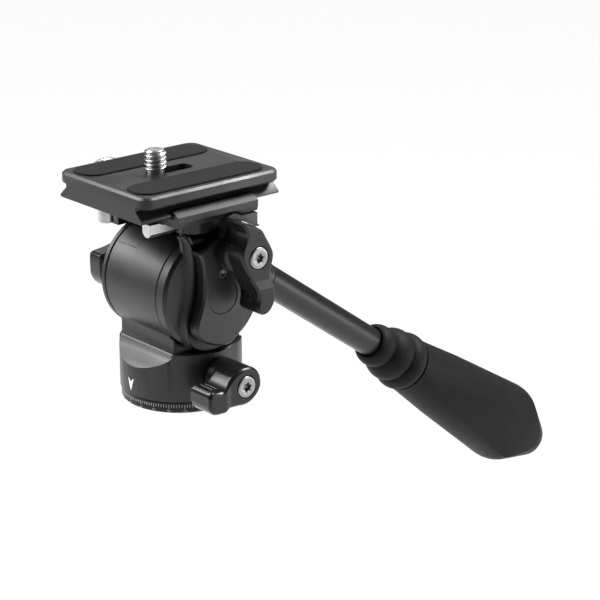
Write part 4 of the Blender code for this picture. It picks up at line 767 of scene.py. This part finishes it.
def index_arrow():
    """The outline of (across, up) as a thin solid bent round the cup."""
    outline = np.array(ARROW) * MM
    count = len(outline)
    layers = [np.c_[outline, np.full(count, out)] for out in (-MARK_DEPTH, MARK_PROUD)]
    ring = np.arange(count)
    after = (ring + 1) % count
    sides = np.stack([ring, after, after + count, ring + count], -1)
    caps = [range(count - 1, -1, -1), range(count, 2 * count)]
    points = bend_round(np.concatenate(layers), CUP_RADIUS, ARROW_ANGLE)
    return fill_mesh("index_arrow", points, sides, caps)


place_piece("index_arrow", index_arrow(), PAINT, BODY_OF["pan_housing"])
print("arrow at", round(math.degrees(ARROW_ANGLE), 1), "degrees")

# %% [markdown]
# A fitted panel leaves a hairline on the barrel's left shoulder: a long straight line along the barrel,
# and a fainter one from its end up and over. Dark blocks in the surface read as an open joint, and the
# one that climbs is made of short lengths so that it follows the curve.

# %% The panel's seam on the barrel
PANEL_ANGLE = math.radians(42.5)
SEAM_LENGTH = 9.6 * MM
SEAM_CENTRE = -8.2 * MM
SEAM_WIDTH = 0.12 * MM
CLIMB_X = -3.4 * MM
CLIMB_WIDTH = 0.07 * MM
CLIMB_LENGTHS = 7
CLIMB_STEP = 0.75 * MM


def panel_seam():
    """Blocks laid on the barrel: the angle is the panel's plus up over radius, measured from the front."""
    blocks = [block_corners(SEAM_LENGTH, -SEAM_WIDTH / 2, SEAM_WIDTH / 2) + np.array([SEAM_CENTRE, 0, 0])]
    for low in np.arange(CLIMB_LENGTHS) * CLIMB_STEP:
        blocks.append(block_corners(CLIMB_WIDTH, low, low + CLIMB_STEP) + np.array([CLIMB_X, 0, 0]))
    flat = np.concatenate(blocks)
    angle = PANEL_ANGLE + flat[:, 1] / BARREL_RADIUS
    reach = BARREL_RADIUS + flat[:, 2]
    points = np.stack([flat[:, 0], -reach * np.cos(angle), TILT[2] + reach * np.sin(angle)], -1)
    return blocks_mesh("panel_seam", points)


place_piece("panel_seam", panel_seam(), SEAM, BODY_OF["pan_housing"])
print("seam", round((SEAM_LENGTH + CLIMB_LENGTHS * CLIMB_STEP) / MM, 2), "mm long")

# %% [markdown]
# The rubber collar is three rings that swell one after another, with a hollow front where the bar goes
# in. The profile is drawn as half waves between grooves, and turned about the bar's own line. That line
# leaves the arm backwards and dips, so the grip hangs below the plate.

# %% The ribbed collar
BAR_DIP = math.radians(35.44)
BAR_FOOT = (16.6 * MM, 6.53 * MM, TILT[2] + 9.17 * MM)
BAR_LINE = axes_at(BAR_FOOT, (0, math.cos(BAR_DIP), -math.sin(BAR_DIP)), (1, 0, 0))
COLLAR_SIDES = 120
COLLAR_MOUTH = [(4.62, 68.2), (4.75, 67.6), (4.95, 67.0), (5.2, 66.6)]
COLLAR_WAVES = [(66.4, 72.5, 5.35, 6.0, 6.75), (72.5, 79.8, 6.0, 7.6, 8.35), (79.8, 85.7, 7.6, 8.35, 9.3)]
COLLAR_END = [(8.0, 85.7), (4.75, 85.7)]
WAVE_STEPS = 14
WAVE_FULLNESS = 0.6


def wave(start, end, low, high, crest):
    """Half a wave on a sloping floor: the floor plus the crest's height times a power of the sine."""
    share = np.linspace(0, 1, WAVE_STEPS)
    floor = low + (high - low) * share
    swell = (crest - (low + high) / 2) * np.sin(np.pi * share) ** WAVE_FULLNESS
    return np.stack([floor + swell, start + (end - start) * share], -1)


def collar_piece():
    """The profile of (radius, distance along the bar), in from the mouth and out at the grip."""
    profile = np.concatenate([COLLAR_MOUTH, *(wave(*row)[1:] for row in COLLAR_WAVES), COLLAR_END]) * MM
    rings = BAR_LINE(turned_rings(profile[:, 0], profile[:, 1], COLLAR_SIDES))
    return stand_in("collar_rings", shell_mesh("collar_rings", rings), GRIP, "handle_collar")


print("collar", len(collar_piece().data.polygons), "faces")

# %% [markdown]
# The clamp knob peeps out behind the plate. Its rim is a straight knurl: a cosine of the angle, flattened
# on top, that fades towards both faces so the knob has soft shoulders. The solid's rim is a polygon that
# measures a little less than the round knob as drawn, so the radii are scaled to fit it.

# %% The knurled clamp knob
KNURL_SIDES = 360
KNURL_TEETH = 45
KNURL_DEPTH = 0.38 * MM
TOOTH_STEEPNESS = 1.4
KNOB_RADIUS = 8.2 * MM
KNOB_WIDTH = 6.5 * MM
KNOB_NECK = 4.6 * MM


def knurled_knob():
    """Rows of (radius, distance out, share of the knurl), from the neck over the rim to the cupped face.

    Between two teeth the radius is less by the depth times the row's share.
    """
    low, high = low_high("clamp_knob")
    rim, foot, face = KNOB_RADIUS, -high[0], -low[0]
    back = face - KNOB_WIDTH
    rows = [
        (KNOB_NECK, foot, 0), (KNOB_NECK, back, 0), (rim - 1.0 * MM, back, 0),
        (rim - 0.4 * MM, back + 0.2 * MM, 0.1), (rim - 0.1 * MM, back + 0.6 * MM, 0.7),
        (rim, back + 1.0 * MM, 1), (rim, face - 1.1 * MM, 1), (rim - 0.1 * MM, face - 0.6 * MM, 0.7),
        (rim - 0.4 * MM, face - 0.2 * MM, 0.1), (rim - 1.0 * MM, face, 0), (3.0 * MM, face, 0),
        (2.4 * MM, face - 0.2 * MM, 0),
    ]
    fit = (high[2] - low[2]) / 2 / KNOB_RADIUS
    tooth = np.clip(TOOTH_STEEPNESS * np.cos(KNURL_TEETH * around(KNURL_SIDES)), -1, 1)
    gap = (1 - tooth) / 2
    radius = np.array([out * fit - KNURL_DEPTH * share * gap for out, _, share in rows])
    rings = turned_rings(radius, [along for _, along, _ in rows], KNURL_SIDES)
    centre = (0.0, (low[1] + high[1]) / 2, (low[2] + high[2]) / 2)
    rings = axes_at(centre, (-1, 0, 0), (0, 0, 1))(rings)
    return stand_in("clamp_knob_knurled", rings_mesh("clamp_knob_knurled", rings), KNURL, "clamp_knob")


print("clamp knob", len(knurled_knob().data.polygons), "faces")

# %% [markdown]
# The stage. The head is held up by a tripod that isn't shown, and its handle swings lower than its base,
# so the floor lies under the grip's lowest swing. The corner of the grip's box swings lower than the grip
# itself, so a few millimetres of that drop are spared. To the camera the floor is nearly a white light of
# its own, with a little of its real shading mixed in, so that it stays white and keeps a soft shadow. A
# mirror sees a quarter of that light, since the dark metal would turn pale in more.

# %% Floor and backdrop
FLOOR_SIZE = 3.0
FLOOR_COLOUR = 0.8
SHADOW_SHARE = 0.05
MIRRORED_SHARE = 0.25


def math_node(tree, operation, first, second):
    """A Math node on an output and either a number or another output."""
    node = tree.nodes.new("ShaderNodeMath")
    node.operation = operation
    tree.links.new(first, node.inputs[0])
    if isinstance(second, float):
        node.inputs[1].default_value = second
    else:
        tree.links.new(second, node.inputs[1])
    return node.outputs[0]


def stage_finish(name):
    """White to the camera, apart from a share of true shading that carries the shadow."""
    material = new_finish(name, grey(FLOOR_COLOUR), 0.9, 0.0)
    tree = material.node_tree
    glow = tree.nodes.new("ShaderNodeEmission")
    glow.inputs["Strength"].default_value = 1.0
    path = tree.nodes.new("ShaderNodeLightPath")
    seen = math_node(tree, "MAXIMUM", path.outputs["Is Camera Ray"], path.outputs["Is Transmission Ray"])
    straight = math_node(tree, "MULTIPLY", seen, 1.0 - SHADOW_SHARE)
    mirrored = math_node(tree, "MULTIPLY", path.outputs["Is Glossy Ray"], MIRRORED_SHARE)
    mix = tree.nodes.new("ShaderNodeMixShader")
    tree.links.new(math_node(tree, "MAXIMUM", straight, mirrored), mix.inputs[0])
    tree.links.new(tree.nodes["Principled BSDF"].outputs[0], mix.inputs[1])
    tree.links.new(glow.outputs[0], mix.inputs[2])
    tree.links.new(mix.outputs[0], tree.nodes["Material Output"].inputs["Surface"])
    return material


def lay_floor(height):
    """A square sheet at a height, with the stage's finish."""
    half = FLOOR_SIZE / 2
    mesh = bpy.data.meshes.new("floor")
    mesh.from_pydata([(x * half, y * half, height) for x, y in ((-1, -1), (1, -1), (1, 1), (-1, 1))],
                     [], [(0, 1, 2, 3)])
    mesh.materials.append(stage_finish("floor_white"))
    sheet = bpy.data.objects.new("floor", mesh)
    bpy.context.scene.collection.objects.link(sheet)


grip_low, grip_high = low_high("handle_grip")
CORNER_REACH = np.hypot(grip_high[1] - TILT[1], grip_low[2] - TILT[2])
SPARED_DROP = 6 * MM
FLOOR_HEIGHT = TILT[2] - CORNER_REACH + SPARED_DROP
lay_floor(FLOOR_HEIGHT)
print("floor at", round(FLOOR_HEIGHT, 4))

# %% [markdown]
# The world is white to the camera alone, and dim to the head, so that black stays black. A brighter
# world would fill the shadows under the plate, which give the head most of its depth.

# %% World
SURROUND = 0.05
world = bpy.data.worlds.new("studio")
bpy.context.scene.world = world
world.use_nodes = True
tree = world.node_tree
surround = tree.nodes["Background"]
surround.inputs["Color"].default_value = (1, 1, 1, 1)
surround.inputs["Strength"].default_value = SURROUND
backdrop = tree.nodes.new("ShaderNodeBackground")
backdrop.inputs["Color"].default_value = (1, 1, 1, 1)
backdrop.inputs["Strength"].default_value = 1.0
path = tree.nodes.new("ShaderNodeLightPath")
mix = tree.nodes.new("ShaderNodeMixShader")
tree.links.new(path.outputs["Is Camera Ray"], mix.inputs[0])
tree.links.new(surround.outputs[0], mix.inputs[1])
tree.links.new(backdrop.outputs[0], mix.inputs[2])
tree.links.new(mix.outputs[0], tree.nodes["World Output"].inputs["Surface"])
print("world strength", SURROUND)

# %% [markdown]
# Soft studio light. One broad key lamp at the front left draws the long highlight on the barrel. Two
# lamps behind light the plate's top and the jaw's chamfer, one at the right is mirrored in the cover and
# the plate's side, and a weak low one at the left rounds off the cup.

# %% Lamps
AIM = np.array([0.010, 0.020, 0.040])


def soft_lamp(name, azimuth, elevation, distance, width, height, power):
    """A rectangular lamp on a sphere round the head, facing it."""
    turn, lift = math.radians(azimuth), math.radians(elevation)
    back = np.array([math.sin(turn) * math.cos(lift), -math.cos(turn) * math.cos(lift), math.sin(lift)])
    data = bpy.data.lights.new(name, "AREA")
    data.shape = "RECTANGLE"
    data.size, data.size_y = width, height
    data.energy = power
    lamp = bpy.data.objects.new(name, data)
    bpy.context.scene.collection.objects.link(lamp)
    right = np.cross([0, 0, 1.0], back)
    right = right / np.linalg.norm(right)
    columns = np.stack([right, np.cross(back, right), back, AIM + back * distance], 1)
    lamp.matrix_world = Matrix(columns.tolist() + [[0, 0, 0, 1]])


soft_lamp("key_left", -46, 40, 0.75, 0.45, 0.50, 10.0)
soft_lamp("back_left", -135, 42, 0.85, 0.70, 0.45, 2.2)
soft_lamp("back_right", 160, 50, 0.80, 0.30, 0.26, 10.5)
soft_lamp("right_side", 136, 0, 0.80, 0.40, 0.40, 2.4)
soft_lamp("low_left", -68, 6, 0.80, 0.24, 0.20, 1.0)
print("lamps", len(bpy.data.lights))

# %% [markdown]
# The camera stands where the photograph was taken. Its direction was solved from points whose sizes are
# known, such as the plate's corners, the base ring and both knob screws.

# %% Camera
CAMERA_AT = (0.46094, -0.35586, 0.23005)
CAMERA_AZIMUTH = math.radians(48.86)
CAMERA_ELEVATION = math.radians(19.10)
CAMERA_LENS = 125.84
SENSOR_WIDTH = 36.0
camera_data = bpy.data.cameras.new("camera")
camera_data.sensor_width = SENSOR_WIDTH
camera_data.lens = CAMERA_LENS
camera_data.clip_start = 0.01
camera = bpy.data.objects.new("camera", camera_data)
bpy.context.scene.collection.objects.link(camera)
camera.location = CAMERA_AT
camera.rotation_euler = (math.pi / 2 - CAMERA_ELEVATION, 0, CAMERA_AZIMUTH)
bpy.context.scene.camera = camera
bpy.context.scene.view_settings.view_transform = "Standard"
print("camera at", CAMERA_AT)
